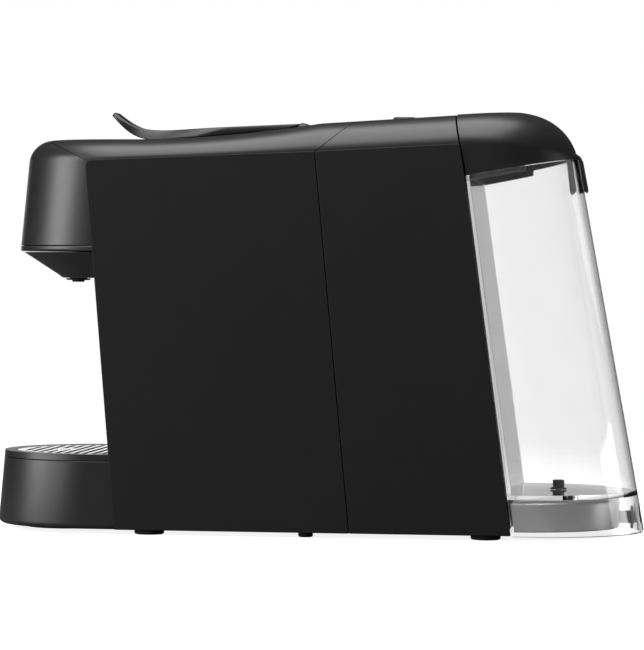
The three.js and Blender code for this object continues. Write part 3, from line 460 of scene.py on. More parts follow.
def round_edges(piece, radius=EDGE, segments=3):
    """Rounds every edge and smooths the shading."""
    tidy(piece, 0.05)
    modifier = piece.modifiers.new("round", "BEVEL")
    modifier.width = radius * MM
    modifier.segments = segments
    modifier.limit_method = "ANGLE"
    modifier.angle_limit = SHARP
    modifier.harden_normals = True
    modifier.miter_outer = "MITER_ARC"
    smooth(piece)
    return bake(piece)


def shade_joined(piece):
    """Smooth shading with crisp edges, for a piece that was joined after its edges were rounded."""
    smooth(piece)
    piece.data.set_sharp_from_angle(angle=SHARP)
    modifier = piece.modifiers.new("shade", "WEIGHTED_NORMAL")
    modifier.keep_sharp = True
    return bake(piece)


def finish_piece(piece, slot, body, *nodes):
    """Material, slot, body and the CAD nodes that the piece stands for."""
    piece.data.materials.clear()
    piece.data.materials.append(MATERIALS[slot])
    smooth(piece)
    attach(piece, body)
    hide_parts(*nodes)
    return piece


# -------- outlines and solids


def fillet(points, radii, steps=6):
    """A closed outline with its corners rounded by one radius, or by one radius a corner."""
    count = len(points)
    if not isinstance(radii, (list, tuple)):
        radii = [radii] * count
    result = []
    for i, radius in enumerate(radii):
        corner = Vector(points[i])
        before = Vector(points[i - 1]) - corner
        after = Vector(points[(i + 1) % count]) - corner
        if radius <= 0:
            result.append(corner)
            continue
        half_angle = before.angle(after) / 2
        back = min(radius / math.tan(half_angle), before.length * 0.49, after.length * 0.49)
        start = corner + before.normalized() * back
        end = corner + after.normalized() * back
        for step in range(steps + 1):
            t = step / steps
            result.append(start * (1 - t) ** 2 + corner * 2 * t * (1 - t) + end * t * t)
    return result


def rectangle(x0, x1, y0, y1, radius=0.0):
    return fillet([(x0, y0), (x1, y0), (x1, y1), (x0, y1)], radius)


def bezier(start, first, second, end, steps=16):
    """Points of a cubic curve after its start."""
    points = []
    for step in range(1, steps + 1):
        t = step / steps
        weights = ((1 - t) ** 3, 3 * t * (1 - t) ** 2, 3 * t * t * (1 - t), t ** 3)
        corners = (start, first, second, end)
        points.append(tuple(sum(w * c[k] for w, c in zip(weights, corners)) for k in (0, 1)))
    return points


ON_AXIS = {  # where a point (across, across, along) goes
    "x": lambda p: (p[2], p[0], p[1]),
    "y": lambda p: (p[1], p[2], p[0]),
    "z": lambda p: p,
}


def prism(name, outline, axis, low, high):
    """A closed outline pushed along an axis."""
    count = len(outline)
    vertices = [ON_AXIS[axis]((p[0], p[1], along)) for along in (low, high) for p in outline]
    faces = [tuple(range(count)), tuple(range(count, 2 * count))]
    faces += [(i, (i + 1) % count, (i + 1) % count + count, i + count) for i in range(count)]
    return new_piece(name, vertices, faces)


def box(name, low, high):
    return prism(name, rectangle(low[0], high[0], low[1], high[1]), "z", low[2], high[2])


def lathe(name, profile, centre=(0, 0, 0), axis="z", segments=72, ring=False):
    """A profile of (radius, height) points turned about an axis; ring closes it on itself."""
    vertices = []
    rows = []
    for radius, height in profile:
        if radius < 1e-6:
            rows.append([len(vertices)] * segments)
            vertices.append((0, 0, height))
            continue
        rows.append(list(range(len(vertices), len(vertices) + segments)))
        for i in range(segments):
            angle = 2 * math.pi * i / segments
            vertices.append((radius * math.cos(angle), radius * math.sin(angle), height))
    pairs = list(zip(rows, rows[1:])) + ([(rows[-1], rows[0])] if ring else [])
    faces = []
    for low, high in pairs:
        for i in range(segments):
            j = (i + 1) % segments
            face = [low[i], low[j], high[j], high[i]]
            faces.append(tuple(dict.fromkeys(face)))
    placed = [tuple(a + b for a, b in zip(ON_AXIS[axis](v), centre)) for v in vertices]
    return new_piece(name, placed, [f for f in faces if len(f) > 2])


def round_bar(name, axis, radius, low, high, centre=(0, 0, 0), edge=0.3):
    """A rod with rounded ends along an axis."""
    profile = [(0, low), (radius - edge, low), (radius - edge * 0.3, low + edge * 0.3), (radius, low + edge)]
    profile += [(r, low + high - h) for r, h in reversed(profile)]
    return lathe(name, profile, centre, axis)


def horseshoe(radius, arc_y, end_y, facing, stations=1, inset=None):
    """Half-round outline as (x, y, turn): turn is 0 at the tip and 1 on the straight sides."""
    inset = inset or (lambda turn: 0.0)
    side = []
    for i in range(stations, 0, -1):
        side.append((radius - inset(1), lerp(arc_y, end_y, i / stations), 1.0))
    for i in range(ARC, -1, -1):
        angle = i / ARC * math.pi / 2
        turn = math.sin(angle) ** 2
        span = radius - inset(turn)
        side.append((span * math.sin(angle), arc_y + facing * span * math.cos(angle), turn))
    return side + [(-x, y, turn) for x, y, turn in reversed(side[:-1])]


def level(points, z, lean=0.0, lean_z=0.0):
    """An outline lifted to z, or to z(point), leaning with height."""
    ring = []
    for point in points:
        height = z(point) if callable(z) else z
        ring.append((point[0], point[1] + lean * (height - lean_z), height))
    return ring


def skin(rings, closed, wrap=False):
    """Faces between rings of equal length. closed joins each ring's ends, wrap the last ring to the first."""
    count = len(rings[0])
    faces = []
    pairs = len(rings) if wrap else len(rings) - 1
    for row in range(pairs):
        low = row * count
        high = (row + 1) % len(rings) * count
        for i in range(count if closed else count - 1):
            j = (i + 1) % count
            faces.append((low + i, low + j, high + j, high + i))
    return faces


def block(name, rings):
    """A closed solid through closed rings."""
    count = len(rings[0])
    faces = skin(rings, closed=True)
    faces.append(tuple(range(count)))
    faces.append(tuple(range((len(rings) - 1) * count, len(rings) * count)))
    return new_piece(name, [p for ring in rings for p in ring], faces)


def strip(name, rings):
    """A closed band through open rings: the first ring follows the last, and both ends are capped."""
    count = len(rings[0])
    faces = skin(rings, closed=False, wrap=True)
    faces.append(tuple(row * count for row in range(len(rings))))
    faces.append(tuple(row * count + count - 1 for row in range(len(rings))))
    return new_piece(name, [p for ring in rings for p in ring], faces)


def hood(name, rings, columns=20, tip=8.0):
    """A sheet through open rings whose last ring is roofed over by rows across the middle.

    Where the roof is narrower than tip on each side, one face closes its round end."""
    count = len(rings[0])
    vertices = [p for ring in rings for p in ring]
    faces = skin(rings, closed=False)
    rows = []
    last = rings[-1]
    last_start = len(vertices) - count
    end = next(i for i, point in enumerate(last) if point[0] < tip)
    for i in range(end):
        right, left = Vector(last[i]), Vector(last[count - 1 - i])
        start = len(vertices)
        vertices += [tuple(right.lerp(left, column / columns)) for column in range(columns + 1)]
        rows.append(start)
    for first, second in zip(rows, rows[1:]):
        for column in range(columns):
            faces.append((first + column, first + column + 1, second + column + 1, second + column))
    across = range(rows[-1], rows[-1] + columns + 1)
    around = range(last_start + count - 1 - end, last_start + end - 1, -1)
    faces.append((*across, *around))
    return new_piece(name, vertices, faces)


# -------- housing


def body_hood(name, low):
    """Upper body as a sheet: round nose, flat roof, shoulders. low gives its lower edge."""
    def plan(inset):
        return horseshoe(HALF, HEAD_ARC_Y, 100, -1, 84, inset)

    def edge_z(point):
        return max(EDGE_Z, panel_top_z(point[1]))

    rings = [level(plan(None), z, HEAD_LEAN, HEAD_LOW.z) for z in (low, edge_z)]
    for i in range(1, SHOULDER_STEPS + 1):
        angle = i / SHOULDER_STEPS * math.pi / 2

        def inset(turn):
            return lerp(SHOULDER_NOSE, SHOULDER_SIDE, turn) * (1 - math.cos(angle))

        def height(point):
            return lerp(edge_z(point), roof_z(point[1]), math.sin(angle))

        rings.append(level(plan(inset), height, HEAD_LEAN, HEAD_LOW.z))
    return hood(name, rings)


CREASE_NORMAL = Vector((0, -CREASE_SLOPE, 1)).normalized()
SEAM_POINT = Vector((0, SEAM_TOP_Y, SEAM_TOP_Z))
SEAM_NORMAL = Vector((0, 1, -COVER_SEAM_SLOPE)).normalized()
LID_POINT = Vector((0, REAR_TOP_Y, REAR_HIGH.z))
LID_NORMAL = Vector((0, 1, -LID_SEAM_SLOPE)).normalized()


def head_shell():
    piece = body_hood("head_front", HEAD_LOW.z)
    cut_away(piece, CREASE - CREASE_NORMAL * GAP / 2, CREASE_NORMAL)
    cut_away(piece, (0, HEAD_HIGH.y, 0), (0, 1, 0))
    thicken(piece, WALL)
    round_edges(piece)
    finish_piece(piece, "housing", "housing", "head_shell")


def lip_z(point):
    return panel_top_z(point[1]) - COVER_LIP


def finger_dish(piece):
    """Presses a shallow round dish into the roof under the lever's tip."""
    ball = Vector((0, DISH_Y, FLAT_Z + DISH_RISE)) * MM
    radius = DISH_RADIUS * MM

    def work(bm):
        for vertex in bm.verts:
            away = (vertex.co.xy - ball.xy).length
            if away < radius and vertex.co.z > (FLAT_Z - 0.5) * MM:
                floor = ball.z - math.sqrt(radius ** 2 - away ** 2)
                vertex.co.z = min(vertex.co.z, floor)
    return edit(piece, work)


def hinge_ear(side):
    """Upright lug that holds one end of the lever's shaft."""
    low, high = sorted((EAR[0] * side, EAR[1] * side))
    lug = box("ear", (low, -11, 216), (high, -1.4, SHAFT_Z))
    knuckle = round_bar("knuckle", "x", LEVER_BARREL, low, high, (0, SHAFT_Y, SHAFT_Z))
    return round_edges(plus(lug, knuckle), 0.4)


def top_cover_front():
    piece = body_hood("front_cover", lip_z)
    cut_away(piece, CREASE + CREASE_NORMAL * GAP / 2, -CREASE_NORMAL)
    cut_away(piece, SEAM_POINT - SEAM_NORMAL * GAP / 2, SEAM_NORMAL)
    finger_dish(piece)
    thicken(piece, WALL)
    ears = [hinge_ear(side) for side in (1, -1)]
    capsule_slot = rectangle(-19.3, 19.3, -92, -63, 4)
    lever_opening = rectangle(-25.6, 25.6, -31, -2.9, 1)
    less(piece, prism("slot", capsule_slot, "z", *HOLE_RANGE))
    less(piece, prism("opening", lever_opening, "z", *HOLE_RANGE))
    round_edges(piece, COVER_EDGE)
    plus(piece, *ears)
    less(piece, round_bar("bore", "x", SHAFT_BORE, -40, SHAFT_HIGH.x + GAP, (0, SHAFT_Y, SHAFT_Z)))
    shade_joined(piece)
    finish_piece(piece, "housing", "housing", "top_cover_front")


def top_cover_rear():
    piece = body_hood("rear_cover", lip_z)
    end = LID_POINT - LID_NORMAL * LID_SEAM_GAP / 2
    cut_away(piece, SEAM_POINT + SEAM_NORMAL * GAP / 2, -SEAM_NORMAL)
    cut_away(piece, end, LID_NORMAL)
    close_end(piece, end, LID_NORMAL)
    thicken(piece, WALL)
    for side in ("right", "left"):
        middle = middle_of(f"push_button_{side}")
        less(piece, round_bar("hole", "z", 6.6, 210, 240, (middle.x, middle.y, 0)))
    round_edges(piece, COVER_EDGE)
    finish_piece(piece, "housing", "housing", "top_cover_rear")


def push_button(side):
    low, high = reach(f"push_button_{side}")
    middle = middle_of(f"push_button_{side}")
    skirt = (high.x - low.x) / 2
    radius = skirt - 1.4
    top = high.z
    under = roof_z(middle.y) - WALL - 1.8
    profile = [
        (0, low.z), (2.7, low.z), (3, low.z + 0.3), (3, under - 0.8), (skirt, under - 0.8), (skirt, under),
        (radius, under), (radius, top - 0.9), (radius - 0.12, top - 0.45), (radius - 0.45, top - 0.12),
        (radius - 0.9, top), (radius - 2, top - 0.12), (radius - 4, top - 0.3), (0, top - 0.35),
    ]
    piece = lathe(f"button_{side}", profile, (middle.x, middle.y, 0))
    finish_piece(piece, "housing", f"button_{side}", f"push_button_{side}")


def head_trim_ring():
    top = RING_HIGH.z
    bottom = RING_LOW.z
    profile = [
        (1.1, bottom), (0.5, bottom + 0.2), (0.15, bottom + 0.6), (0, bottom + 1.1),
        (0, top - 0.3), (0.3, top), (4.7, top), (5, top - 0.3), (5, bottom + 0.4), (4.6, bottom),
    ]
    rings = [
        level(horseshoe(HALF - inset, HEAD_ARC_Y, RING_HIGH.y, -1), z, HEAD_LEAN, HEAD_LOW.z)
        for inset, z in profile
    ]
    finish_piece(strip("trim_ring", rings), "housing", "housing", "head_trim_ring")


def outlet_shroud():
    low, high = SHROUD_LOW, SHROUD_HIGH

    def ring(radius, z):
        return level(horseshoe(radius, HEAD_ARC_Y, high.y, -1), z)

    outer = block("shroud", [
        ring(32.8, low.z), ring(34.1, low.z + 0.25), ring(34.8, low.z + 0.7), ring(35.3, low.z + 1.3),
        ring(high.x, high.z)])
    inner = block("inner", [ring(33.6, low.z + 2), ring(high.x - 2, high.z + 1)])
    less(outer, inner, round_bar("hole", "z", 5.3, low.z - 2, high.z, (0, SPOUT_Y, 0)))
    round_edges(outer, FINE_EDGE)
    finish_piece(outer, "inner_plastic", "housing", "outlet_shroud")


def coffee_spout():
    low, high = reach("coffee_spout")
    flange = (high.x - low.x) / 2
    step = SHROUD_LOW.z - GAP
    profile = [
        (2.2, low.z + 0.2), (2.4, low.z), (3.0, low.z), (3.3, low.z + 0.3), (3.6, step - 1),
        (flange - 1, step - 1), (flange - 0.3, step - 0.8), (flange, step - 0.4), (flange, step - 0.1),
        (flange - 0.1, step), (5, step), (5, high.z - 0.3), (4.7, high.z), (4, high.z), (2.2, high.z - 2),
    ]
    piece = lathe("spout", profile, (0, SPOUT_Y, 0), ring=True)
    finish_piece(piece, "inner_plastic", "housing", "coffee_spout")


# -------- side panels


def side_panel(part, side):
    node = f"side_panel_{part}_{side}"
    low, high = reach(node)
    if part == "front":
        corners = [
            (PANEL_FRONT_BOTTOM, low.z), (SEAM_BOTTOM_Y - HALF_SEAM, low.z),
            (SEAM_TOP_Y - HALF_SEAM, high.z), (PANEL_FRONT_TOP, EDGE_Z),
        ]
        outline = fillet(corners, [0.8, 0.5, 0.5, PANEL_CORNER])
    else:
        corners = [
            (SEAM_BOTTOM_Y + HALF_SEAM, low.z), (high.y, low.z), REAR_NECK, (REAR_TOP_Y, high.z),
            (SEAM_TOP_Y + HALF_SEAM, SEAM_TOP_Z),
        ]
        outline = fillet(corners, [0.5, 0.8, 3, 0.8, 0.5])
    piece = prism(f"panel_{part}_{side}", outline, "x", low.x, high.x)
    round_edges(piece, COVER_EDGE)
    finish_piece(piece, "side_panel", "housing", node)


# -------- lever


LEVER_TIP = (-114.8, LEVER_HIGH.z - 0.3)  # upper end of the upturned tip
LEVER_NOSE = (-116.5, 229.6)  # lower end of the upturned tip
LEVER_BEND = (-79.0, 221.6)  # where the straight part starts
LEVER_HEEL = -93.0  # where the underside leaves the roof


def lever_half_width(y):
    """Full width over the roof, drawn in to a round finger tongue in front."""
    half = 25.0
    tip = 10.0
    shoulder, neck, tip_y = -56.0, -106.0, -120.0
    if y >= shoulder:
        return half
    if y >= neck:
        share = (shoulder - y) / (shoulder - neck)
        return lerp(half, tip, share * share * (3 - 2 * share))
    return math.sqrt(max(0.0, tip ** 2 - max(0.0, tip_y + tip - y) ** 2))


def lever_lines():
    """Matching points along the top and the underside of the blade, from the tip to the hinge."""
    clearance = 0.5  # between blade and roof
    bend_top = bezier(LEVER_BEND, (-99, 220.9), (-104, 222.8), LEVER_TIP)[::-1] + [LEVER_BEND]
    heel = (LEVER_HEEL, roof_z(LEVER_HEEL) + clearance)
    bend_under = [LEVER_NOSE] + bezier(LEVER_NOSE, (-110.5, 223.8), (-106, 216.8), heel)
    top_end = (SHAFT_Y, SHAFT_Z + LEVER_BARREL)
    under_end = -22.0
    rise_start, rise_length = -34, 28
    steps = 24
    for step in range(1, steps + 1):
        share = step / steps
        bend_top.append((lerp(LEVER_BEND[0], top_end[0], share), lerp(LEVER_BEND[1], top_end[1], share)))
        y = lerp(LEVER_HEEL, under_end, share)
        low = roof_z(min(y, rise_start)) + clearance
        climb = max(0.0, (y - rise_start) / rise_length)
        bend_under.append((y, lerp(low, SHAFT_Z - LEVER_BARREL, climb)))
    return bend_top, bend_under


def lever():
    """The blade: rounded cross-sections strung along its side view, and the hinge barrel."""
    corner_steps = 5
    rings = []
    for (top_y, top_z), (under_y, under_z) in zip(*lever_lines()):
        top, under = Vector((top_y, top_z)), Vector((under_y, under_z))
        thickness = (top - under).length
        radius = min(1.5, thickness * 0.48)
        half = lever_half_width((top_y + under_y) / 2)
        ring = []
        for corner, (side, up) in enumerate(((1, 0), (1, 1), (-1, 1), (-1, 0))):
            for step in range(corner_steps + 1):
                angle = math.pi / 2 * (corner - 1 + step / corner_steps)
                x = side * (half - radius) + radius * math.cos(angle)
                rise = up * (thickness - 2 * radius) + radius + radius * math.sin(angle)
                place = under.lerp(top, rise / thickness)
                ring.append((x, place.x, place.y))
        rings.append(ring)
    nose = rings[0]
    middle = Vector((0, (LEVER_TIP[0] + LEVER_NOSE[0]) / 2, (LEVER_TIP[1] + LEVER_NOSE[1]) / 2))
    ahead = Vector((0, -0.9, 0.3))
    for share, advance in ((0.9, 0.35), (0.65, 0.62), (0.3, 0.78)):
        rings.insert(0, [tuple(Vector(p).lerp(middle, 1 - share) + ahead * advance) for p in nose])
    blade = block("lever_blade", rings)
    barrel = round_bar("barrel", "x", LEVER_BARREL, -25, 25, (0, SHAFT_Y, SHAFT_Z), edge=0.5)
    return plus(blade, barrel)


def lever_arms():
    """Crank arms and pins under the lever, down to the toggle links."""
    radius = 32.0
    angle = math.radians(-105)
    half_width = 2.6
    pin = (SHAFT_Y - radius * math.cos(angle), SHAFT_Z + radius * math.sin(angle))
    along = Vector((pin[0] - SHAFT_Y, pin[1] - SHAFT_Z)).normalized()
    across = Vector((-along.y, along.x)) * half_width
    start = Vector((SHAFT_Y, SHAFT_Z))
    end = Vector(pin)
    outline = [start + across, end + across, end - across, start - across]
    arms = []
    for side in (1, -1):
        ends = sorted((21.0 * side, 24.0 * side))
        arm = prism("arm", [tuple(p) for p in outline], "x", *ends)
        plus(arm, round_bar("eye", "x", 4.5, *ends, (0, *pin)))
        pin_ends = sorted((23.0 * side, 27.4 * side))
        plus(arm, round_bar("pin", "x", 2.5, *pin_ends, (0, *pin)))
        arms.append(arm)
    return arms


def whole_lever():
    piece = plus(lever(), *lever_arms())
    less(piece, round_bar("bore", "x", SHAFT_BORE, -40, 40, (0, SHAFT_Y, SHAFT_Z)))
    piece.name = "lever_handle"
    finish_piece(piece, "housing", "lever", "lever")
    shaft = round_bar("hinge_shaft", "x", 1.6, SHAFT_LOW.x, SHAFT_HIGH.x, (0, SHAFT_Y, SHAFT_Z))
    finish_piece(shaft, "steel", "lever", "lever_shaft")


# -------- drip tray


def tray_ring(z, inset):
    end_y = panel_front_y(z) + TRAY_TUCK - inset - TRAY_LEAN * (z - TRAY_LOW.z)
    return level(horseshoe(HALF - inset, TRAY_ARC_Y, end_y, -1), z, TRAY_LEAN, TRAY_LOW.z)


def drip_tray():
    low, high = TRAY_LOW.z, TRAY_HIGH.z
    base_radius = 3.0
    steps = 6
    rings = []
    for step in range(steps + 1):
        angle = step / steps * math.pi / 2
        z = low + base_radius * (1 - math.cos(angle))
        rings.append(tray_ring(z, base_radius * (1 - math.sin(angle))))
    rings.append(tray_ring(high, 0))
    piece = block("tray", rings)
    less(piece, block("inner", [tray_ring(low + WALL, TRAY_WALL), tray_ring(high + 2, TRAY_WALL)]))
    round_edges(piece, 0.4)
    finish_piece(piece, "housing", "tray", "drip_tray")


GRID_ARC_Y = TRAY_ARC_Y + TRAY_LEAN * (FRAME_HIGH.z - TRAY_LOW.z)
GRID_RADIUS = (GRID_HIGH.x - GRID_LOW.x) / 2


def grid_frame():
    low, high = FRAME_LOW.z, FRAME_HIGH.z
    piece = block("grid_rim", [tray_ring(low, 0), tray_ring(high, 0)])
    seat = round_bar("seat", "z", GRID_RADIUS + GAP, GRID_LOW.z - GAP, high + 2, (0, GRID_ARC_Y, 0))
    well = round_bar("well", "z", GRID_RADIUS - 3, low - 5, high + 5, (0, GRID_ARC_Y, 0))
    for tool in (seat, well):
        less(tool, box("trim", (-80, GRID_HIGH.y + GAP, 0), (80, 40, 90)))
        less(piece, tool)
    round_edges(piece, 0.6)
    finish_piece(piece, "housing", "grid", "grid_frame")


def drip_grid():
    low, high = GRID_LOW.z, GRID_HIGH.z
    pitch, slot, rim, margin = 5.3, 2.8, 4.0, 3
    span = GRID_RADIUS - rim
    piece = round_bar("grid", "z", GRID_RADIUS, low, high, (0, GRID_ARC_Y, 0))
    y = GRID_ARC_Y - span + margin
    while y < GRID_HIGH.y - margin:
        half = math.sqrt(span ** 2 - (y + slot / 2 - GRID_ARC_Y) ** 2)
        less(piece, prism("slot", rectangle(-half, half, y, y + slot, slot * 0.49), "z", low - 2, high + 2))
        y += pitch
    spot_y, spot_radius = GRID_SPOT
    plus(piece, round_bar("spot", "z", spot_radius, low, high, (0, spot_y, 0)))
    less(piece, box("cut", (-80, GRID_HIGH.y, 0), (80, 40, 90)))
    round_edges(piece, 0.25, 2)
    finish_piece(piece, "steel", "grid", "drip_grid")


def foot(name, node, body):
    low, high = reach(node)
    middle = middle_of(node)
    radius = (high.x - low.x) / 2
    profile = [
        (0, low.z + 0.3), (radius - 3, low.z + 0.3), (radius - 2.6, low.z), (radius - 1, low.z),
        (radius - 0.4, low.z + 0.2), (radius, low.z + 0.7), (radius, high.z - 0.3), (radius - 0.3, high.z),
        (0, high.z),
    ]
    piece = lathe(name, profile, (middle.x, middle.y, 0))
    finish_piece(piece, "rubber", body, node)


def capsule_bin():
    low, high = BIN_LOW.z, BIN_HIGH.z
    wide = BIN_HIGH.x
    half = 50.0
    thick = 2.5
    depth = 58.0
    body_top = 104.0

    def face(z):
        return panel_front_y(z) + TRAY_TUCK + 2 * GAP

    front = prism("bin", [
        (face(low), low), (face(low) + thick, low), (face(high) + thick, high), (face(high), high),
    ], "x", -wide, wide)
    back = face(low) + depth
    body = prism("body", fillet([
        (face(low) + 1, low), (back, low), (back, body_top), (face(body_top) + 1, body_top),
    ], [0, 6, 1, 0]), "x", -half, half)
    inside = low + thick
    hollow = prism("hollow", fillet([
        (face(inside) + thick, inside), (back - 2, inside), (back - 2, body_top + 5),
        (face(body_top + 5) + thick, body_top + 5),
    ], [1, 4, 0, 0]), "x", -half + 2, half - 2)
    less(plus(front, body), hollow)
    round_edges(front)
    finish_piece(front, "inner_plastic", "drawer", "capsule_bin")


# -------- water tank and lid


def tank_ring(z, inset, front_inset=None):
    front_inset = inset if front_inset is None else front_inset
    arc_y = TANK_ARC_Y + TANK_LEAN * (z - TANK_ARC_Z)
    front = min(panel_rear_y(z) + 2 * GAP + front_inset, arc_y)
    return level(horseshoe(TANK_HIGH.x - inset, arc_y, front, 1), z)


def tank_block(name, z0, z1, inset, front_inset=None):
    return block(name, [tank_ring(z0, inset, front_inset), tank_ring(z1, inset, front_inset)])


def above_lid_edge(lift, thickness=90.0):
    """A slab whose underside is the slanting line between tank and lid, raised by lift."""
    low, high = lid_edge_z(40) + lift, lid_edge_z(210) + lift
    outline = [(40, low), (210, high), (210, high + thickness), (40, low + thickness)]
    return prism("slab", outline, "x", -90, 90)


def water_tank():
    notch_radius = (GLAND_HIGH.x - GLAND_LOW.x) / 2 + 1.4
    floor, floor_top = TANK_FLOOR
    piece = tank_block("tank", TANK_LOW.z, TANK_REACH, 0)
    less(piece, above_lid_edge(-GAP))
    less(piece, tank_block("inside", floor_top, TANK_REACH + 1, TANK_WALL))
    less(piece, tank_block("underside", TANK_LOW.z - 2, floor, TANK_WALL, -9))
    less(piece, round_bar("notch", "y", notch_radius, 160, 190, (0, 0, GLAND_Z)))
    less(piece, box("slit", (-notch_radius, 160, -2), (notch_radius, 190, GLAND_Z)))
    less(piece, round_bar("hole", "z", 3, 0, 40, (0, VALVE_Y, 0)))
    round_edges(piece, 0.5)
    finish_piece(piece, "clear_plastic", "tank", "water_tank")


def lid_hood():
    """The lid's outer sheet: a shoulder along the sides that widens into a round tail."""
    def plan(inset):
        return horseshoe(HALF, LID_ARC_Y, 60, 1, 16, inset)

    def edge_z(point):
        return lerp(LID_TAIL_Z, LID_SIDE_Z, point[2])

    rings = [level(plan(lambda turn: 0), 186), level(plan(lambda turn: 0), edge_z)]
    for i in range(1, SHOULDER_STEPS + 1):
        share = i / SHOULDER_STEPS

        def start_at(turn):
            return math.radians(LID_TAIL_ANGLE) * (1 - turn)

        def angle_at(turn):
            return lerp(start_at(turn), math.pi / 2, share)

        def inset(turn):
            width = lerp(SHOULDER_TAIL, SHOULDER_SIDE, turn)
            return width * (1 - math.cos(angle_at(turn)) / math.cos(start_at(turn)))

        def height(point):
            start = math.sin(start_at(point[2]))
            rise = (math.sin(angle_at(point[2])) - start) / (1 - start)
            return lerp(edge_z(point), roof_z(min(point[1], LID_LEVEL_Y)), rise)

        rings.append(level(plan(inset), height))
    return hood("lid", rings)


def tank_lid():
    edge_point = (0, LID_EDGE[0], LID_EDGE[1])
    edge_normal = (0, LID_EDGE[2], -1)
    seam = LID_POINT + LID_NORMAL * LID_SEAM_GAP / 2
    piece = lid_hood()
    cut_away(piece, edge_point, edge_normal)
    cut_away(piece, seam, -LID_NORMAL)
    close_end(piece, seam, -LID_NORMAL)
    thicken(piece, WALL)
    round_edges(piece, LID_EDGE_ROUND)
    plus(piece, lid_rim())
    clip, leg = lid_clip()
    plus(piece, round_edges(clip, LID_EDGE_ROUND), round_edges(leg, LID_EDGE_ROUND))
    shade_joined(piece)
    finish_piece(piece, "housing", "lid", "tank_lid")


def lid_rim():
    """Rim that rests on the tank, with the lip that reaches into it in front."""
    lip_inset = TANK_WALL + 0.5
    below = 60
    collar = tank_block("collar", 175, TANK_REACH, lip_inset)
    less(collar, above_lid_edge(WALL))
    less(collar, above_lid_edge(-LIP_DEPTH - below, below))
    less(collar, box("behind", (-80, LIP_REAR, 150), (80, 200, 240)))
    rim = tank_block("rim", 175, TANK_REACH, 0.8, 1)
    less(rim, above_lid_edge(WALL))
    less(rim, above_lid_edge(-below, below))
    plus(rim, collar)
    return less(rim, tank_block("throat", 170, TANK_REACH + 1, lip_inset + 2))


def lid_clip():
    """Hook outside the tank's rear wall and the leg inside it."""
    clip = prism("clip", fillet([
        (139.6, 208.9), (141.8, 209.2), (143.7, 207.9), (145.1, 205), (148.1, 189.4), (147.5, 187.8),
        (146.7, 188.4), (143.8, 204.2), (143.3, 206.6), (139.6, 206.6),
    ], [0, 1, 1.5, 2, 0.8, 0.4, 0.8, 2, 1, 0]), "x", -11, 11)
    leg = prism("leg", fillet([
        (136.2, 207), (139.4, 207), (138.9, 204.6), (141.5, 188.4), (139.9, 186.6), (138.3, 188),
    ], [0, 0, 2, 0.8, 1, 0.8]), "x", -10, 10)
    return clip, leg


def plinth():
    low, high = PLINTH_LOW, PLINTH_HIGH
    half = high.x
    front = low.y

    def ring(z, inset, back):
        return level(horseshoe(half - inset, high.y - half, front + back, 1), z)

    top = high.z
    outer = block("tank_plinth", [
        ring(low.z, 0.4, 2), ring(low.z + 0.4, 0, 2), ring(top - 1.6, 0, 0), ring(top - 0.9, 0.15, 0),
        ring(top - 0.35, 0.6, 0), ring(top, 1.5, 0)])
    hollow = block("hollow", [ring(low.z - 1, 2.4, -9), ring(top - 2.2, 2.4, -9)])
    less(outer, hollow, round_bar("socket", "z", 5.4, 0, 30, (0, VALVE_Y, 0)))
    less(outer, round_bar("hole", "y", 3.8, 150, 180, (0, 0, GLAND_Z)))
    round_edges(outer, FINE_EDGE)
    finish_piece(outer, "grey_plastic", "housing", "plinth")


def cord_gland():
    low, high = GLAND_LOW, GLAND_HIGH
    flange = (high.x - low.x) / 2
    shoulder = PLINTH_HIGH.y + 6
    profile = [
        (2.2, low.y), (3.5, low.y), (3.5, shoulder), (flange - 0.3, shoulder), (flange, shoulder + 0.3),
        (flange, shoulder + 1.2), (flange - 0.3, shoulder + 1.5), (3.7, shoulder + 1.5),
    ]
    ribs = 3
    step = (high.y - shoulder - 1.8) / ribs
    for i in range(ribs):
        y = shoulder + 1.8 + i * step
        crest = 3.35 - 0.05 * i
        profile += [(crest, y), (crest, y + step * 0.55), (2.9, y + step * 0.65), (2.9, y + step)]
    profile += [(2.6, high.y), (2.2, high.y)]
    piece = lathe("gland", profile, (0, 0, GLAND_Z), "y", ring=True)
    finish_piece(piece, "inner_plastic", "housing", "cord_gland")


def valve_parts():
    low, high = reach("tank_valve_plunger")
    plunger = lathe("valve_plunger", [
        (0, low.z), (1.3, low.z), (1.6, low.z + 0.3), (1.6, high.z - 4), (3.0, high.z - 4),
        (3.2, high.z - 3.8), (3.2, high.z - 0.6), (3.05, high.z - 0.2), (2.6, high.z), (0, high.z),
    ], (0, VALVE_Y, 0), segments=48)
    finish_piece(plunger, "inner_plastic", "valve", "tank_valve_plunger")
    low, high = reach("tank_valve_seat")
    outer = (high.x - low.x) / 2
    seat = lathe("valve_seat", [
        (3, low.z), (outer, low.z), (outer, high.z - 0.5), (outer - 0.5, high.z), (3.2, high.z),
        (3, high.z - 0.2),
    ], (0, VALVE_Y, 0), segments=64, ring=True)
    finish_piece(seat, "inner_plastic", "tank", "tank_valve_seat")


# -------- building

head_shell()
head_trim_ring()
outlet_shroud()
coffee_spout()
top_cover_front()
top_cover_rear()
for side_name in ("right", "left"):
    push_button(side_name)
    side_panel("front", side_name)
    side_panel("rear", side_name)
    for place in ("front", "middle", "rear"):
        foot(f"pad_{place}_{side_name}", f"foot_{place}_{side_name}", "housing")
whole_lever()
drip_tray()
grid_frame()
drip_grid()
foot("tray_pad", "tray_foot", "tray")
capsule_bin()
water_tank()
tank_lid()
plinth()
cord_gland()
valve_parts()

SLOT_OF = {entry["node"]: entry["material_slot"] for entry in frame["record"]["subparts"]}
for node_name, node_object in frame["nodes"].items():
    node_object.data.materials.clear()
    node_object.data.materials.append(MATERIALS[SLOT_OF[node_name]])

# -------- floor, light and camera


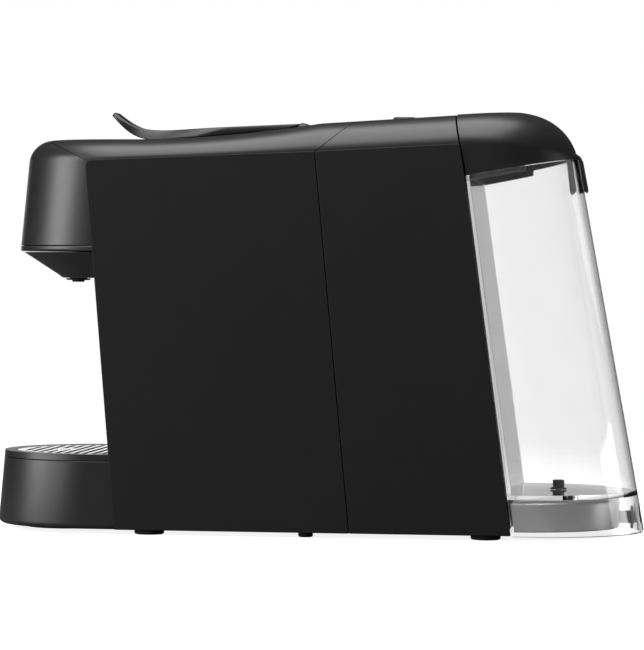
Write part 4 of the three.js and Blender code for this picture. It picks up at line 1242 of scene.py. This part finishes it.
def seen_directly(tree):
    """1 for rays from the camera, also through clear plastic, less behind it, and 0 for other rays."""
    ray = tree.nodes.new("ShaderNodeLightPath")

    def math_node(operation, first, second):
        node = tree.nodes.new("ShaderNodeMath")
        node.operation = operation
        for socket, value in zip(node.inputs, (first, second)):
            plug(tree, socket, value)
        return node.outputs[0]

    direct = math_node("MAXIMUM", ray.outputs["Is Camera Ray"], ray.outputs["Is Transmission Ray"])
    bounces = math_node("ADD", ray.outputs["Glossy Depth"], ray.outputs["Diffuse Depth"])
    fresh = math_node("LESS_THAN", bounces, 0.5)
    return math_node("MULTIPLY", direct, math_node("MAXIMUM", fresh, 0.6))


def floor():
    """A pale floor that fades out into the white studio around it, and is dim in reflections."""
    mesh = bpy.data.meshes.new("floor")
    size = 1.2
    corners = [(x * size, y * size, 0) for x, y in ((-1, -1), (1, -1), (1, 1), (-1, 1))]
    mesh.from_pydata(corners, [], [(0, 1, 2, 3)])
    piece = in_scene("floor", mesh)
    s = Shader("pale_floor")
    cloud = s.noise(3, 2)
    pale = s.blend(s.span(cloud, 0, 1), grey(0.28), grey(0.32))
    seen = seen_directly(s.tree)
    s.feed("Base Color", s.blend(seen, grey(0.1), pale))
    s.surface.inputs["Emission Color"].default_value = (1, 1, 1, 1)
    s.feed("Emission Strength", s.span(seen, 0, 0.88, (0, 1)))
    s.feed("Roughness", s.span(cloud, 0.5, 0.6))
    spread = s.stretched((0.9, 0.9, 0.9))
    gradient = s.add("ShaderNodeTexGradient", {"Vector": spread}, gradient_type="SPHERICAL")
    s.feed("Alpha", s.span(gradient.outputs["Fac"], 0, 1, (0.05, 0.55)))
    mesh.materials.append(s.material)


def softbox(name, place, target, size, power):
    light = bpy.data.lights.new(name, "AREA")
    light.shape = "RECTANGLE"
    light.size, light.size_y = size
    light.energy = power
    lamp = in_scene(name, light)
    lamp.location = place
    lamp.rotation_euler = (Vector(target) - Vector(place)).to_track_quat("-Z", "Y").to_euler()


def studio_world():
    """White where it is seen directly or through clear plastic, dim grey in reflections."""
    world = bpy.data.worlds.new("studio")
    world.use_nodes = True
    tree = world.node_tree
    dim = tree.nodes["Background"]
    dim.inputs["Color"].default_value = (1, 1, 1, 1)
    dim.inputs["Strength"].default_value = 0.04
    white = tree.nodes.new("ShaderNodeBackground")
    white.inputs["Color"].default_value = (1, 1, 1, 1)
    white.inputs["Strength"].default_value = 1.0
    mix = tree.nodes.new("ShaderNodeMixShader")
    tree.links.new(seen_directly(tree), mix.inputs[0])
    tree.links.new(dim.outputs[0], mix.inputs[1])
    tree.links.new(white.outputs[0], mix.inputs[2])
    tree.links.new(mix.outputs[0], tree.nodes["World Output"].inputs["Surface"])
    bpy.context.scene.world = world


def lighting():
    studio_world()
    middle = (0, 0, 0.12)
    softbox("overhead", (0.35, 0, 1.2), middle, (1.5, 1.8), 42)
    softbox("front_strip", (0.47, -1.27, 0.42), middle, (0.6, 0.9), 15)
    softbox("tray_card", (0.28, -0.36, 0.04), (0, -0.12, 0.02), (0.12, 0.08), 0.15)
    softbox("back_card", (-1.0, -0.48, 0.15), (0, -0.13, 0.045), (0.5, 0.3), 0.6)
    softbox("rear_card", (-0.35, 1.3, 0.11), (0, 0.11, 0.02), (0.6, 0.2), 1.2)


def camera():
    """The viewpoint: a long lens almost square to the side, a little to the rear and just above."""
    place = Vector((1.82188, 0.22489, 0.1445))
    target = Vector((0, 0.001188, 0.113905))
    roll = math.radians(0.40)
    data = bpy.data.cameras.new("camera")
    data.lens = 182.77
    data.sensor_width = 36
    data.clip_end = 50
    view = in_scene("camera", data)
    turn = (target - place).to_track_quat("-Z", "Y").to_matrix().to_4x4()
    view.matrix_world = Matrix.Translation(place) @ turn @ Matrix.Rotation(roll, 4, "Z")
    bpy.context.scene.camera = view


floor()
lighting()
camera()
bpy.context.scene.view_settings.view_transform = "Standard"
